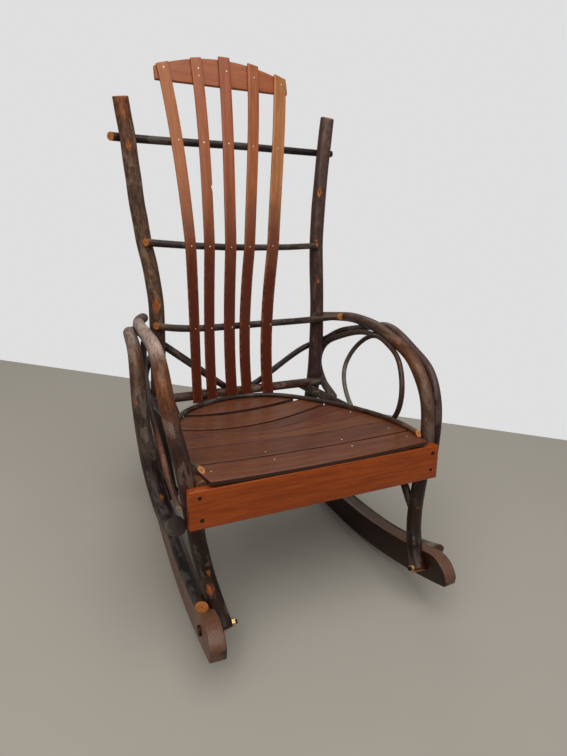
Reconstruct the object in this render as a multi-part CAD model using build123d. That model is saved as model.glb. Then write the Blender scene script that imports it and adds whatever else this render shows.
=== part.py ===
from build123d import *
import math
import os

# Hickory rocking chair, in millimetres: bent saplings nailed to a pair of sawn rockers, with a slatted
# seat and a fanned slat back. The front faces -Y, +X is the right-hand arm as seen from the front and
# +Z is up. The chair is laid out from the front face of the apron (Y = 0) and the floor (Z = 0).

# --- clearances ---
joint_gap = 0.1  # between two pieces nailed or screwed together
bedding = 2.0  # how deep a round stick is flattened or saddled where it seats
bolt_clearance = 0.4  # round the bolts in their holes

# --- rockers ---
rocker_radius = 1138.0
rocker_height = 64.0
rocker_thickness = 32.0
rocker_front = -130.0  # Y of the front tip
rocker_rear = 745.0  # Y of the rear tip
rocking_point = 302.0  # Y where the rockers touch the floor
rocker_track = 474.0  # between the rockers' middles at the rocking point
rocker_toe_in = 3.3  # degrees that each rocker turns in toward the back
nose_length = 64.0  # of the rounding at each tip
nose_drops = {"left": 44.0, "right": 56.0}  # the right tips are more worn

# --- seat ---
seat_height = 358.0  # top edge of the apron
seat_slope = 0.12  # fall of the seat toward the back
seat_dish = 6.0  # how far the seat's middle lies below its rim at the widest slat
seat_half_width = 250.0  # of the widest slat
seat_front = 2.0  # Y of the front slat's front edge
slat_thickness = 8.0
apron_length = 560.0
apron_height = 76.0
apron_thickness = 20.0
apron_lean = 8.2  # degrees that the apron's foot leans forward
apron_corner = 4.0
rail_radius = 12.0
runner_radius = 11.0
runner_spacing = 180.0
rear_rail_front = 486.0  # Y of the rear rail's front side
rear_rail_reach = {"left": 26.0, "right": 24.0}  # past the posts' middles
runner_reach = 14.0  # past the rear rail's middle
side_rail_reach = 14.0  # past the backs of the posts
seat_bow_radius = 6.0

# --- back ---
post_radius_foot = 20.5
post_radius_top = 18.3
post_height = 1022.0
post_foot_height = 26.0
post_seat_y = 531.0  # Y of the posts' middles at seat height
post_recline = 0.182  # run back for each unit of rise
top_bar_height = 931.0
middle_bar_height = 693.0
arm_bar_height = 493.0
top_bar_radius = 9.3
middle_bar_radius = 8.4
arm_bar_radius = 9.0
bar_taper = 0.6  # a bar's radius over its mean at the left end, and under it at the right
bar_reach = {"top": (41.0, 40.0), "middle": (9.0, -3.0)}  # past the posts' middles, left and right
bar_end_rise = {"top": 2.0, "middle": 9.0}  # of the left end
bar_middle_rise = {"top": 2.0, "middle": -4.0}
back_slat_thickness = 6.0
back_slat_bend = 160.0  # radius of the bend over the middle bar
back_slat_foot = 297.0  # height of the slats' lower ends
crest_thickness = 10.0
crest_bottom = 1071.0
crest_end_height = 1101.0
crest_middle_height = 1134.0
crest_reach = {"left": 5.0, "right": 3.0}  # past the outer slats' edges
crest_splay = 2.0  # how far the right end leans out
crest_lift = 3.0  # how much higher the right end stands

# --- arms ---
leg_foot_y = -67.0
leg_foot_height = 84.0
leg_radius_foot = 17.3
leg_radius_end = 12.6
apron_share = 0.27  # how far along the leg sapling the apron is nailed on
bend_share = 0.3  # how far along the leg sapling the arm begins
arm_fall = 0.75  # height of the arm's rear end, as a share of its rise over the seat
left_arm_height = 562.0
right_arm_height = 532.0
left_bow_radius_foot = 18.5
left_bow_radius_end = 8.5
right_bow_radius_foot = 9.4
right_bow_radius_end = 8.0
large_hoop_radius_foot = 11.5
large_hoop_radius_end = 6.0
small_hoop_radius_foot = 5.6
small_hoop_radius_end = 6.4
hoop_low = 312.0  # heights where the large hoops pass outside the posts
hoop_high = 395.0
hoop_foot_y = 400.0
hoop_top_y = 290.0  # Y where the large hoops meet the arms
loop_top_y = 270.0  # Y where the right small hoop meets the arm
twig_top_y = 330.0  # Y where the left small twig meets the arm
twig_foot_height = 305.0
brace_radius = 9.5
brace_foot_height = 180.0  # where the leg braces leave the legs
brace_rear = 118.0  # Y where they meet the side rails
side_rod_radius = 12.0
twig_taper = 1.0  # loss of radius along a brace or a side rod

# --- rocker bolts ---
bolt_radius = 4.0
bolt_head_radius = 10.0
bolt_head_height = 3.5
spot_radius = 10.5  # of the flat that the nut pulls down on
nut_width = 13.0
nut_height = 6.5
bolt_tail = 5.0  # thread left standing proud of the nut
bolt_height = 34.0  # above the underside of the rocker
front_bolt_y = leg_foot_y + 9.0

# --- shaved sticks: flats round the bark, and the turn in degrees between two sections ---
stick_flats = 16
twig_flats = 12
arm_step = 12.0
twig_step = 14.0
post_step = 5.0
bar_step = 4.0

# --- tied to the sizes above ---
spare = apron_thickness  # blanks, saws and drills run past the wood by this
seat_turn = 0.62 * rear_rail_front  # Y behind which the seat's outline faces back
arm_start = leg_foot_y + 7  # Y where the arm's taper begins
arm_run = post_seat_y - arm_start + post_recline * (arm_bar_height - seat_height)

up = Vector(0, 0, 1)
sides = {"left": -1, "right": 1}


# ---------------------------------------------------------------- helpers
def sapling(points, butt, tip, step, flats, grow=0.0):
    """A bent stick tapering from butt to tip, with a section wherever it has turned by one step."""
    curve = Spline(*[Vector(*p) for p in points])
    count = 240
    stations = [0.0]
    last = curve.tangent_at(0.0)
    for i in range(1, count):
        here = curve.tangent_at(i / count)
        if here.get_angle(last) >= step:
            stations.append(i / count)
            last = here
    if len(stations) > 1 and 1.0 - stations[-1] < 0.04:
        stations.pop()
    stations.append(1.0)
    start = curve.tangent_at(0.0)
    across = start.cross(up) if abs(start.dot(up)) < 0.9 else start.cross(Vector(0, 1, 0))
    sections = []
    for s in stations:
        along_stick = curve.tangent_at(s)
        across = (across - along_stick * across.dot(along_stick)).normalized()
        radius = butt + (tip - butt) * s + grow
        section = Plane(origin=curve.position_at(s), x_dir=across, z_dir=along_stick)
        sections.append(section * RegularPolygon(radius, flats, major_radius=False))
    return loft(sections, ruled=True).solid()


def along(points, axis, value):
    """The point on a chain of points where one coordinate has the given value."""
    for a, b in zip(points, points[1:]):
        low = min(a[axis], b[axis])
        high = max(a[axis], b[axis])
        if low <= value <= high and high > low:
            share = (value - a[axis]) / (b[axis] - a[axis])
            return tuple(p + (q - p) * share for p, q in zip(a, b))
    return points[0] if abs(points[0][axis] - value) < abs(points[-1][axis] - value) else points[-1]


trough_radius = (seat_half_width**2 + seat_dish**2) / (2 * seat_dish)


def seat_top(y, x=0.0):
    """Height of the seat's top, which is a shallow trough running front to back."""
    return seat_height + slat_thickness - seat_slope * y + x**2 / (2 * trough_radius)


def rocker_under(y):
    """Height of a rocker's underside."""
    return rocker_radius - math.sqrt(rocker_radius**2 - (y - rocking_point) ** 2)


def rocker_over(y):
    """Height of a rocker's top edge."""
    radius = rocker_radius - rocker_height
    return rocker_radius - math.sqrt(radius**2 - (y - rocking_point) ** 2)


def rocker_middle(y):
    """Distance from the chair's middle plane to the middle of a rocker."""
    return rocker_track / 2 - math.tan(math.radians(rocker_toe_in)) * (y - rocking_point)


def rocker_half():
    """Half of a rocker's thickness, measured straight across the chair."""
    return rocker_thickness / 2 / math.cos(math.radians(rocker_toe_in))


def post_y(z):
    """Y of the posts' middles at a height."""
    return post_seat_y + post_recline * (z - seat_height)


def post_radius(z):
    """Radius of a post at a height."""
    share = (z - post_foot_height) / (post_height - post_foot_height)
    return post_radius_foot + (post_radius_top - post_radius_foot) * share


def apron_back(z):
    """Y of the apron's back face at a height."""
    return apron_thickness + math.tan(math.radians(apron_lean)) * (z - seat_height)


# ---------------------------------------------------------------- rockers
def rocker(side, grow=0.0):
    """A sawn board: two arcs about one centre, with the top rounded down to each tip."""
    inner = rocker_radius - rocker_height - grow
    outer = rocker_radius + grow
    front = rocker_front - grow
    rear = rocker_rear + grow
    centre = rocker_radius

    def on_arc(radius, y):
        return (y - rocking_point, centre - math.sqrt(radius**2 - (y - rocking_point) ** 2))

    middle = (front + rear) / 2
    nose_rear = on_arc(inner, rear - nose_length)
    nose_front = on_arc(inner, front + nose_length)
    tip_rear = (rear - rocking_point, on_arc(inner, rear)[1] - nose_drops[side])
    tip_front = (front - rocking_point, on_arc(inner, front)[1] - nose_drops[side])
    with BuildSketch(Plane.YZ) as board:
        with BuildLine():
            ThreePointArc(on_arc(outer, front), on_arc(outer, middle), on_arc(outer, rear))
            Line(on_arc(outer, rear), tip_rear)
            TangentArc(nose_rear, tip_rear, tangent=(centre - nose_rear[1], nose_rear[0]))
            ThreePointArc(nose_rear, on_arc(inner, middle), nose_front)
            TangentArc(nose_front, tip_front, tangent=(nose_front[1] - centre, -nose_front[0]))
            Line(tip_front, on_arc(outer, front))
        make_face()
    half = rocker_thickness / 2 + grow
    blank = extrude(board.sketch, amount=half, both=True)
    turn = rocker_toe_in * sides[side]
    return (Pos(sides[side] * rocker_track / 2, rocking_point, 0) * Rot(0, 0, turn) * blank).solid()


# ---------------------------------------------------------------- routes of the bent sticks
# bends of the posts: height, and distance out from the chair's middle plane
post_bends = {
    "left": ((330, 211), (480, 206), (590, 208), (680, 222), (780, 236), (910, 247)),
    "right": ((300, 247), (440, 258), (580, 258), (670, 256), (760, 260), (900, 273)),
}
post_tops = {"left": 260, "right": 289}


def post_route(side):
    """Up a back post, from beside its rocker to its sawn top."""
    s = sides[side]
    foot_y = post_y(post_foot_height)
    foot_x = rocker_middle(foot_y) - rocker_half() - post_radius_foot + bedding
    points = [(s * foot_x, foot_y, post_foot_height)]
    for z, x in post_bends[side]:
        points.append((s * x, post_y(z), z))
    points.append((s * post_tops[side], post_y(post_height), post_height))
    return points


post_routes = {side: post_route(side) for side in sides}


def post_at(side, z):
    """The middle of a post at a height."""
    return along(post_routes[side], 2, z)


def leg_radius(share):
    """Radius of the leg sapling, by its share of the way from foot to end."""
    return leg_radius_foot + (leg_radius_end - leg_radius_foot) * share


def arm_radius(y):
    """Radius of the leg sapling where it runs back over the arm."""
    run = min(max((y - arm_start) / arm_run, 0), 1)
    return leg_radius(bend_share + (1 - bend_share) * run)


def leg_route(side):
    """Up the front leg behind the apron, over the arm and back to the post."""
    s = sides[side]
    foot_x = rocker_middle(leg_foot_y) - rocker_half() - leg_radius_foot + bedding
    apron_middle = seat_height - apron_height / 2
    leg_y = apron_back(apron_middle) + leg_radius(apron_share) - 1.5 * bedding
    points = [(s * foot_x, leg_foot_y, leg_foot_height), (s * 270, leg_y, apron_middle)]
    arm = {"left": left_arm_height, "right": right_arm_height}[side]
    rise = arm - seat_height
    if side == "left":
        bends = ((283, 46, 0.25), (292, 84, 0.56), (296, 116, 0.84), (294, 160, 0.97))
        bends += ((291, 215, 1.0), (285, 330, 0.955), (274, 440, 0.87))
        end_z = seat_height + rise * arm_fall
        reach = post_radius(end_z) + leg_radius_end - bedding
        end = (s * (abs(post_at(side, end_z)[0]) + reach), post_y(end_z) + 14, end_z)
    else:
        bends = ((278, 44, 0.19), (283, 76, 0.55), (286, 112, 0.74), (290, 165, 0.89))
        bends += ((292, 218, 0.95), (297, 291, 0.99), (305, 366, 0.97), (318, 446, 0.9))
        end_z = seat_height + rise * arm_fall
        reach = post_radius(end_z) + leg_radius_end - 2 * bedding
        end = (s * (abs(post_at(side, end_z)[0]) + reach * 0.94), post_y(end_z) + reach * 0.34, end_z)
    for x, y, share in bends:
        points.append((s * x, y, seat_height + rise * share))
    if side == "right":
        points.append((s * 325, 503, arm_bar_height + 9))
    points.append(end)
    return points


leg_routes = {side: leg_route(side) for side in sides}


def brace_end():
    """Where the braces meet behind the rear rail."""
    rail_y = rear_rail_front + rail_radius
    return rail_y + rail_radius


def bow_route(side):
    """The outer arm bow, which runs on behind the post as the brace of the back."""
    s = sides[side]
    arm = {"left": left_arm_height, "right": right_arm_height}[side]
    rise = arm - seat_height
    low = seat_height - apron_height
    back_y = brace_end() - bedding
    behind = arm_bar_height - seat_height
    if side == "left":
        leg = along(leg_routes[side], 2, low + 6)
        x = abs(leg[0]) + leg_radius_foot + left_bow_radius_foot - bedding
        points = [(s * x, leg[1] - 12, low + 12), (s * (x + 5), 88, low - 16)]
        bends = ((312, 156, -0.17), (320, 192, 0.25), (320, 222, 0.58), (316, 262, 0.8))
        bends += ((311, 320, 0.87), (303, 400, 0.84), (286, 480, 0.72))
        z = seat_height + 0.66 * behind
        gap = post_radius(z) + 10.4 - bedding
        post = post_at(side, z)
        tail = [(s * 252, 556, seat_height + 0.9 * behind), (post[0], post[1] + gap, z)]
        tail += [(s * 166, 562, seat_height + 0.45 * behind), (s * 20, back_y + left_bow_radius_end, 311)]
    else:
        leg = along(leg_routes[side], 2, low + 18)
        x = abs(leg[0]) + leg_radius_foot + right_bow_radius_foot - bedding
        points = [(s * x, leg[1] + 2, low + 10), (s * 299, 36, seat_height + 20)]
        bends = ((302, 66, 0.6), (309, 112, 0.8), (311, 165, 0.91), (311, 222, 1.01))
        bends += ((314, 290, 1.04), (315, 345, 0.94), (310, 410, 0.8), (300, 498, 0.58))
        z = seat_height + 0.34 * behind
        gap = post_radius(z) + 8.2 - bedding
        post = post_at(side, z)
        tail = [(s * 287, 552, seat_height + 0.46 * behind), (post[0], post[1] + gap, z)]
        tail += [(s * 190, 558, seat_height + 0.14 * behind), (s * 18, back_y + right_bow_radius_end, 300)]
    for x, y, share in bends:
        points.append((s * x, y, seat_height + rise * share))
    return points + tail


bow_routes = {side: bow_route(side) for side in sides}


def rail_route(side):
    """A straight side rail, from behind the apron to past the post, just under the slats."""
    s = sides[side]

    def height(y):
        return seat_top(y) + seat_dish - slat_thickness - rail_radius + bedding

    start_y = apron_back(height(apron_thickness)) + joint_gap
    leg = along(leg_routes[side], 2, height(start_y))
    x_front = abs(leg[0]) - leg_radius(apron_share) - rail_radius + bedding
    end_y = post_y(height(post_seat_y)) + post_radius_foot + side_rail_reach
    post = post_at(side, height(post_seat_y))
    x_rear = abs(post[0]) - post_radius_foot - rail_radius + bedding
    return [(s * x_front, start_y, height(start_y)), (s * x_rear, end_y, height(end_y))]


rail_routes = {side: rail_route(side) for side in sides}

# the seat's outline, from the front left corner round the back to the front right one
seat_outline = [
    (-240, 40),
    (-254, 95),
    (-243, 220),
    (-201, 350),
    (-112, 424),
    (-18, 446),
    (70, 426),
    (140, 360),
    (206, 252),
    (246, 140),
    (248, 30),
]


def bow_height(x, y):
    """Height of the seat bow's middle, lying on the slats."""
    return seat_top(y, x) + seat_bow_radius - bedding / 2


# ---------------------------------------------------------------- seat
def stick(a, b, radius, grow=0.0):
    """A straight shaved stick between two points."""
    line = Vector(*b) - Vector(*a)
    start = Plane(origin=a, z_dir=line.normalized())
    outline = RegularPolygon(radius + grow, stick_flats, major_radius=False)
    return extrude(start * outline, amount=line.length).solid()


def seat_region(grow=0.0):
    """The seat's D, with straight front edge and the bow's curve behind."""
    front = seat_front - grow
    widen = 1 + grow / seat_half_width
    points = [(x * widen, y + (grow if y > seat_turn else 0)) for x, y in seat_outline]
    with BuildSketch() as region:
        with BuildLine():
            Line((points[-1][0], front), (points[0][0], front))
            Line((points[0][0], front), points[0])
            Spline(*points)
            Line(points[-1], (points[-1][0], front))
        make_face()
    return extrude(region.sketch, amount=seat_height * 2)


# the saw lines between the slats: Y at the left end, at places between and at the right end
seat_joints = (
    ((-300, 79), (0, 76), (300, 69)),
    ((-300, 168), (0, 152), (300, 138)),
    ((-300, 196), (0, 184), (300, 214)),
    ((-300, 226), (0, 212), (300, 290)),
    ((-300, 318), (-90, 247), (0, 258), (300, 372)),
    ((-300, 420), (-70, 347), (20, 358), (300, 420)),
)
seat_joint_gaps = (3.5, 1.4, 1.4, 1.4, 7.0, 16.0)


def seat_slat(number, grow=0.0):
    """One dished slat, cut to the seat's outline."""

    def edge(joint, shift):
        return [(x, y + shift) for x, y in joint]

    reach = seat_half_width + 4 * spare
    low = [(-reach, 0), (reach, 0)]
    high = [(-reach, rear_rail_front), (reach, rear_rail_front)]
    if number > 0:
        low = edge(seat_joints[number - 1], seat_joint_gaps[number - 1] / 2 - grow)
    if number < len(seat_joints):
        high = edge(seat_joints[number], -seat_joint_gaps[number] / 2 + grow)
    with BuildSketch() as strip:
        with BuildLine():
            front = Spline(*low) if len(low) > 3 else Polyline(*low)
            rear = Spline(*high) if len(high) > 3 else Polyline(*high)
            Line(front @ 1, rear @ 1)
            Line(front @ 0, rear @ 0)
        make_face()
    plan = extrude(strip.sketch, amount=seat_height * 2)
    outer = Circle(trough_radius + slat_thickness + grow)
    inner = Circle(trough_radius - grow)
    ring = Plane.XZ * Pos(0, trough_radius, 0) * (outer - inner)
    shell = extrude(ring, amount=rear_rail_front * 2, both=True)
    tilt = math.degrees(math.atan(seat_slope))
    bowl = Pos(0, 0, seat_height + slat_thickness) * Rot(-tilt, 0, 0) * shell
    block = Box(2 * reach, 2 * rear_rail_front, 8 * spare)
    near = Pos(0, rear_rail_front / 2, seat_height) * block
    return (bowl & near & plan & seat_region(grow)).solid()


# ---------------------------------------------------------------- back
slat_feet = (-119, -78, -22, 23, 84)
slat_waists = (-118, -69, -12, 40, 107)
slat_shoulders = (-127, -58, 6, 74, 146)
slat_heads = (-146, -60, 15, 94, 170)
slat_widths_foot = (25, 27, 30, 29, 32)
slat_widths_head = (30, 28, 30, 30, 34)
slat_tops = (1108, 1129, 1139, 1131, 1111)
slat_top_slopes = (4, 2, 0, -2.5, -5)


def bar_y(z, radius, behind):
    """Y of a crossbar's middle, nailed before or behind the posts."""
    reach = post_radius(z) + radius - 1.25 * bedding
    return post_y(z) + (reach if behind else -reach)


def slat_line():
    """Side view of the back slats' middle: straight up from the rear rail, bent over the middle bar."""
    out = back_slat_thickness / 2 + joint_gap
    foot_y = rear_rail_front - out
    middle_y = bar_y(middle_bar_height, middle_bar_radius, False) - middle_bar_radius - out + bedding / 4
    top_y = bar_y(top_bar_height, top_bar_radius, True) - top_bar_radius - out + bedding / 4
    low_run = (middle_y - foot_y) / (middle_bar_height - rear_rail_height())
    high_run = (top_y - middle_y) / (top_bar_height - middle_bar_height)
    low = middle_y - low_run * (middle_bar_height - back_slat_foot + spare)
    high = middle_y + high_run * (crest_middle_height - middle_bar_height + spare)
    return [
        (low, back_slat_foot - spare),
        (middle_y, middle_bar_height),
        (high, crest_middle_height + spare),
    ]


def slat_y(z):
    """Y of the back slats' middle at a height."""
    return along(slat_line(), 1, z)[0]


def rear_rail_height():
    """The rear rail lies on top of the runners and the side rails."""
    y = rear_rail_front + rail_radius
    return seat_top(y) - slat_thickness + bedding + rail_radius - bedding / 2


def back_slat(number, grow=0.0):
    """A thin slat: its side view, bent back over the middle bar, cut to its tapering front view."""
    path = FilletPolyline(*[Vector(0, y, z) for y, z in slat_line()], radius=back_slat_bend)
    start = Plane(origin=path @ 0, x_dir=(1, 0, 0), z_dir=path % 0)
    bent = sweep(start * Rectangle(rocker_track, back_slat_thickness + 2 * grow), path=path)
    foot_half = slat_widths_foot[number] / 2 + grow
    head_half = slat_widths_head[number] / 2 + grow
    stations = [
        (slat_feet[number], back_slat_foot - grow, foot_half),
        (slat_waists[number], middle_bar_height, (foot_half + head_half) / 2),
        (slat_shoulders[number], top_bar_height, head_half),
        (slat_heads[number], slat_tops[number] + grow, head_half),
    ]
    slope = slat_top_slopes[number]
    top_left = (stations[-1][0] - stations[-1][2], stations[-1][1] - slope)
    top_right = (stations[-1][0] + stations[-1][2], stations[-1][1] + slope)
    left = [(x - h, z) for x, z, h in stations[:-1]] + [top_left]
    right = [(x + h, z) for x, z, h in stations[:-1]] + [top_right]
    with BuildSketch(Plane.XZ) as front_view:
        with BuildLine():
            Polyline(*left)
            Line(top_left, top_right)
            Polyline(*right)
            Line(right[0], left[0])
        make_face()
    return (bent & extrude(front_view.sketch, amount=post_height, both=True)).solid()


def crest_rail(grow=0.0):
    """The board behind the slats' heads, arched along its top."""
    line = slat_line()
    (y0, z0), (y1, z1) = line[-2:]
    lean = math.atan2(y1 - y0, z1 - z0)
    face = back_slat_thickness / 2 / math.cos(lean) + joint_gap
    y_bottom = y0 + (crest_bottom - z0) * math.tan(lean) + face
    plane = Plane(
        origin=(0, y_bottom, crest_bottom),
        x_dir=(1, 0, 0),
        z_dir=(0, math.cos(lean), -math.sin(lean)),
    )
    scale_up = 1 / math.cos(lean)
    ends = (crest_end_height - crest_bottom) * scale_up
    middle = (crest_middle_height - crest_bottom) * scale_up
    left = slat_heads[0] - slat_widths_head[0] / 2 - crest_reach["left"]
    right = slat_heads[-1] + slat_widths_head[-1] / 2 + crest_reach["right"]
    corner = (right + crest_splay, -ends - crest_lift)
    with BuildSketch() as board:
        with BuildLine():
            Line((left, 0), (right, 0))
            Line((right, 0), corner)
            ThreePointArc(corner, ((left + right) / 2, -middle), (left, -ends))
            Line((left, -ends), (left, 0))
        make_face()
    return extrude(plane * board.sketch, amount=crest_thickness).solid()


def crossbar(points, radius_left, radius_right):
    """One of the twigs across the back."""
    return sapling(points, radius_left, radius_right, bar_step, twig_flats)


# ---------------------------------------------------------------- build the pieces
rockers = {side: rocker(side) for side in sides}
rocker_tools = {side: rocker(side, joint_gap) for side in sides}


def post(side, grow=0.0):
    """A back post."""
    return sapling(post_routes[side], post_radius_foot, post_radius_top, post_step, stick_flats, grow)


def leg(side, grow=0.0):
    """A front leg with the arm that it bends back into."""
    return sapling(leg_routes[side], leg_radius_foot, leg_radius_end, arm_step, stick_flats, grow)


def bow(side, grow=0.0):
    """An outer arm bow."""
    radii = {
        "left": (left_bow_radius_foot, left_bow_radius_end),
        "right": (right_bow_radius_foot, right_bow_radius_end),
    }[side]
    return sapling(bow_routes[side], *radii, arm_step, stick_flats, grow)


def apron(grow=0.0):
    """The front board, leaning, with eased ends."""
    lean = math.radians(apron_lean)
    plane = Plane(
        origin=(0, 0, seat_height),
        x_dir=(1, 0, 0),
        z_dir=(0, -math.cos(lean), math.sin(lean)),
    )
    length = apron_length + 2 * grow
    depth = apron_height / math.cos(lean)
    board = Pos(0, -depth / 2) * RectangleRounded(length, depth + 2 * grow, apron_corner)
    return (extrude(plane * board, amount=-apron_thickness - grow)).solid()


def cut(piece, *tools):
    """The piece less whichever tools come near it."""
    box = piece.bounding_box()
    close = [t for t in tools if box.overlaps(t.bounding_box())]
    left = piece.cut(*close) if close else piece
    solids = left.solids() if hasattr(left, "solids") else left
    return max(solids, key=lambda s: s.volume)


pieces = {}
legs_grown = {side: leg(side, joint_gap) for side in sides}
posts_grown = {side: post(side, joint_gap) for side in sides}
apron_grown = apron(joint_gap)
slats_grown = [seat_slat(i, joint_gap) for i in range(len(seat_joints) + 1)]
back_grown = [back_slat(i, joint_gap) for i in range(len(slat_feet))]
bow_grown = {side: bow(side, joint_gap) for side in sides}

pieces["apron"] = apron()
for i in range(len(seat_joints) + 1):
    pieces[f"seat_slat_{i + 1}"] = cut(seat_slat(i), apron_grown)
for i in range(len(slat_feet)):
    pieces[f"back_slat_{i + 1}"] = back_slat(i)
pieces["crest_rail"] = crest_rail()

# the rear rail, saddled on the fronts of the posts
rail_y = rear_rail_front + rail_radius
rear_z = rear_rail_height()
rear_left = (post_at("left", rear_z)[0] - rear_rail_reach["left"], rail_y, rear_z)
rear_right = (post_at("right", rear_z)[0] + rear_rail_reach["right"], rail_y, rear_z)
rear_rail_grown = stick(rear_left, rear_right, rail_radius, joint_gap)
rear_rail = stick(rear_left, rear_right, rail_radius)
pieces["seat_rail_rear"] = cut(rear_rail, *posts_grown.values(), *back_grown)


def runner_z(y):
    """Height of a runner's middle, just under the slats."""
    return seat_top(y) - slat_thickness - runner_radius + bedding


for side, s in sides.items():
    # runners under the slats, from the apron to under the rear rail
    x = s * runner_spacing / 2
    front_y = apron_back(runner_z(apron_thickness)) + joint_gap
    rear_y = rail_y + runner_reach
    a = (x, front_y, runner_z(front_y))
    b = (x, rear_y, runner_z(rear_y))
    runner = stick(a, b, runner_radius)
    tools = (apron_grown, rear_rail_grown, *slats_grown, *back_grown)
    pieces[f"seat_runner_{side}"] = cut(runner, *tools)
    # side rails from the leg to the post
    a, b = rail_routes[side]
    rail = stick(a, b, rail_radius)
    rail = cut(rail, apron_grown, rear_rail_grown, legs_grown[side], posts_grown[side], *slats_grown)
    pieces[f"side_rail_{side}"] = rail
rails_grown = {side: stick(*rail_routes[side], rail_radius, joint_gap) for side in sides}

# seat bow, nailed over the slats' ends
bow_points = [(x, y, bow_height(x, y)) for x, y in seat_outline]
seat_bow = sapling(bow_points, seat_bow_radius, seat_bow_radius, twig_step, twig_flats)
seat_bow_tool = sapling(
    bow_points, seat_bow_radius, seat_bow_radius, twig_step, twig_flats, joint_gap
)
pieces["seat_bow"] = cut(seat_bow, *slats_grown, *legs_grown.values())

# crossbars: over the fronts of the posts, and the top one behind them
bars = {}
for name, z, radius, behind in (
    ("top", top_bar_height, top_bar_radius, True),
    ("middle", middle_bar_height, middle_bar_radius, False),
):
    reach_left, reach_right = bar_reach[name]
    left = post_at("left", z)[0]
    right = post_at("right", z)[0]
    y = bar_y(z, radius, behind)
    points = [(left - reach_left, y, z + bar_end_rise[name])]
    if name == "top":
        points.append((left, y, z + bar_end_rise[name] / 2))
    points.append((0, y, z + bar_middle_rise[name]))
    if name == "top":
        points.append((right, y, z))
    points.append((right + reach_right, y, z))
    bars[name] = crossbar(points, radius + bar_taper, radius - bar_taper)
z = arm_bar_height
y = slat_y(z) + back_slat_thickness / 2 + arm_bar_radius - bedding / 2
left = post_at("left", z)[0]
right = post_at("right", z)[0]
arm_points = [(left - 14, y, z + 9), (left + 50, y, z - 2), (0, y, z - 5), (right - 80, y, z - 3)]
arm_points += [(right, y - 1, z), (right + 29, y - 8, z + 4), (right + 58, y - 34, z + 12)]
bars["arm"] = crossbar(arm_points, arm_bar_radius, arm_bar_radius)
for name, bar in bars.items():
    tools = list(posts_grown.values()) + back_grown + list(legs_grown.values())
    pieces[f"crossbar_{name}"] = cut(bar, *tools)

# the bent arms
for side, s in sides.items():
    pieces[f"back_post_{side}"] = cut(post(side), rocker_tools[side])
    pieces[f"rocker_{side}"] = rockers[side]
    pieces[f"front_leg_{side}"] = cut(leg(side), rocker_tools[side], apron_grown, posts_grown[side])
    tools = (legs_grown[side], posts_grown[side], rear_rail_grown, apron_grown, rocker_tools[side])
    pieces[f"arm_bow_{side}"] = cut(bow(side), *tools)

# large hoop: from the side rail, behind the post, up under the arm
for side, s in sides.items():
    rail = along(rail_routes[side], 1, hoop_foot_y)
    foot_x = abs(rail[0]) + rail_radius + large_hoop_radius_foot - bedding
    low = post_at(side, hoop_low)
    high = post_at(side, hoop_high)
    beside = abs(low[0]) + post_radius(hoop_low) + 9.5 - bedding
    above = abs(high[0]) + post_radius(hoop_high) + 7.5 - bedding
    arm = along(leg_routes[side][3:], 1, hoop_top_y)
    drop = arm_radius(hoop_top_y) + large_hoop_radius_end - bedding
    points = [
        (s * foot_x, hoop_foot_y - 8, rail[2] - 2),
        (s * (foot_x + 8), 450, rail[2] + 6),
        (s * beside, low[1] - 4, hoop_low + 2),
        (s * (beside + 4), low[1] + 30, 345),
        (s * above, high[1] + 4, hoop_high + 2),
        (s * (above + 2), 462, 458),
        (s * (above * 0.5 + abs(arm[0]) * 0.5), 386, 494),
        (s * (abs(arm[0]) - drop * 0.5), hoop_top_y - 8, arm[2] - drop * 0.87),
    ]
    hoop = sapling(points, large_hoop_radius_foot, large_hoop_radius_end, twig_step, twig_flats)
    tools = (posts_grown[side], legs_grown[side], rails_grown[side], bow_grown[side], rear_rail_grown)
    pieces[f"hoop_large_{side}"] = cut(hoop, *tools, *slats_grown)

# small hoop under the arm: a loop standing on the seat's rim at the right, a long brace at the left
arm = along(leg_routes["right"][3:], 1, loop_top_y)
drop = arm_radius(loop_top_y) + small_hoop_radius_end - bedding
rear_foot = seat_outline[8]
front_foot = seat_outline[9]
reach = seat_bow_radius + small_hoop_radius_foot - bedding
points = [
    (rear_foot[0] + reach * 0.85, rear_foot[1] + reach * 0.52, bow_height(*rear_foot)),
    (222, 300, 365),
    (240, 346, 415),
    (260, 345, 462),
    (arm[0] - drop * 0.8, 296, arm[2] - drop * 0.8),
    (arm[0] - drop * 0.9, 232, arm[2] - drop * 0.8),
    (274, 180, 497),
    (266, 144, 462),
    (258, 124, 420),
    (257, 130, 376),
    (front_foot[0] + reach, front_foot[1], bow_height(*front_foot) - reach / 2),
]
hoop = sapling(points, small_hoop_radius_foot, small_hoop_radius_end, twig_step, twig_flats)
tools = (legs_grown["right"], seat_bow_tool, pieces["hoop_large_right"])
pieces["hoop_small_right"] = cut(hoop, *tools, *slats_grown)

arm = along(leg_routes["left"][3:], 1, twig_top_y)
drop = arm_radius(twig_top_y) + small_hoop_radius_end - bedding
foot = along(leg_routes["left"], 2, twig_foot_height)
foot_x = foot[0] - leg_radius(apron_share) - small_hoop_radius_foot + bedding
points = [
    (foot_x, foot[1] + 4, twig_foot_height - 3),
    (-291, 92, 326),
    (-291, 160, 360),
    (-290, 232, 392),
    (-290, 290, 450),
    (arm[0] - 2, twig_top_y - 8, arm[2] - drop),
]
hoop = sapling(points, small_hoop_radius_foot, small_hoop_radius_end, twig_step, twig_flats)
tools = (legs_grown["left"], bow_grown["left"], pieces["hoop_large_left"])
pieces["hoop_small_left"] = cut(hoop, *tools, *slats_grown)

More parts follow.
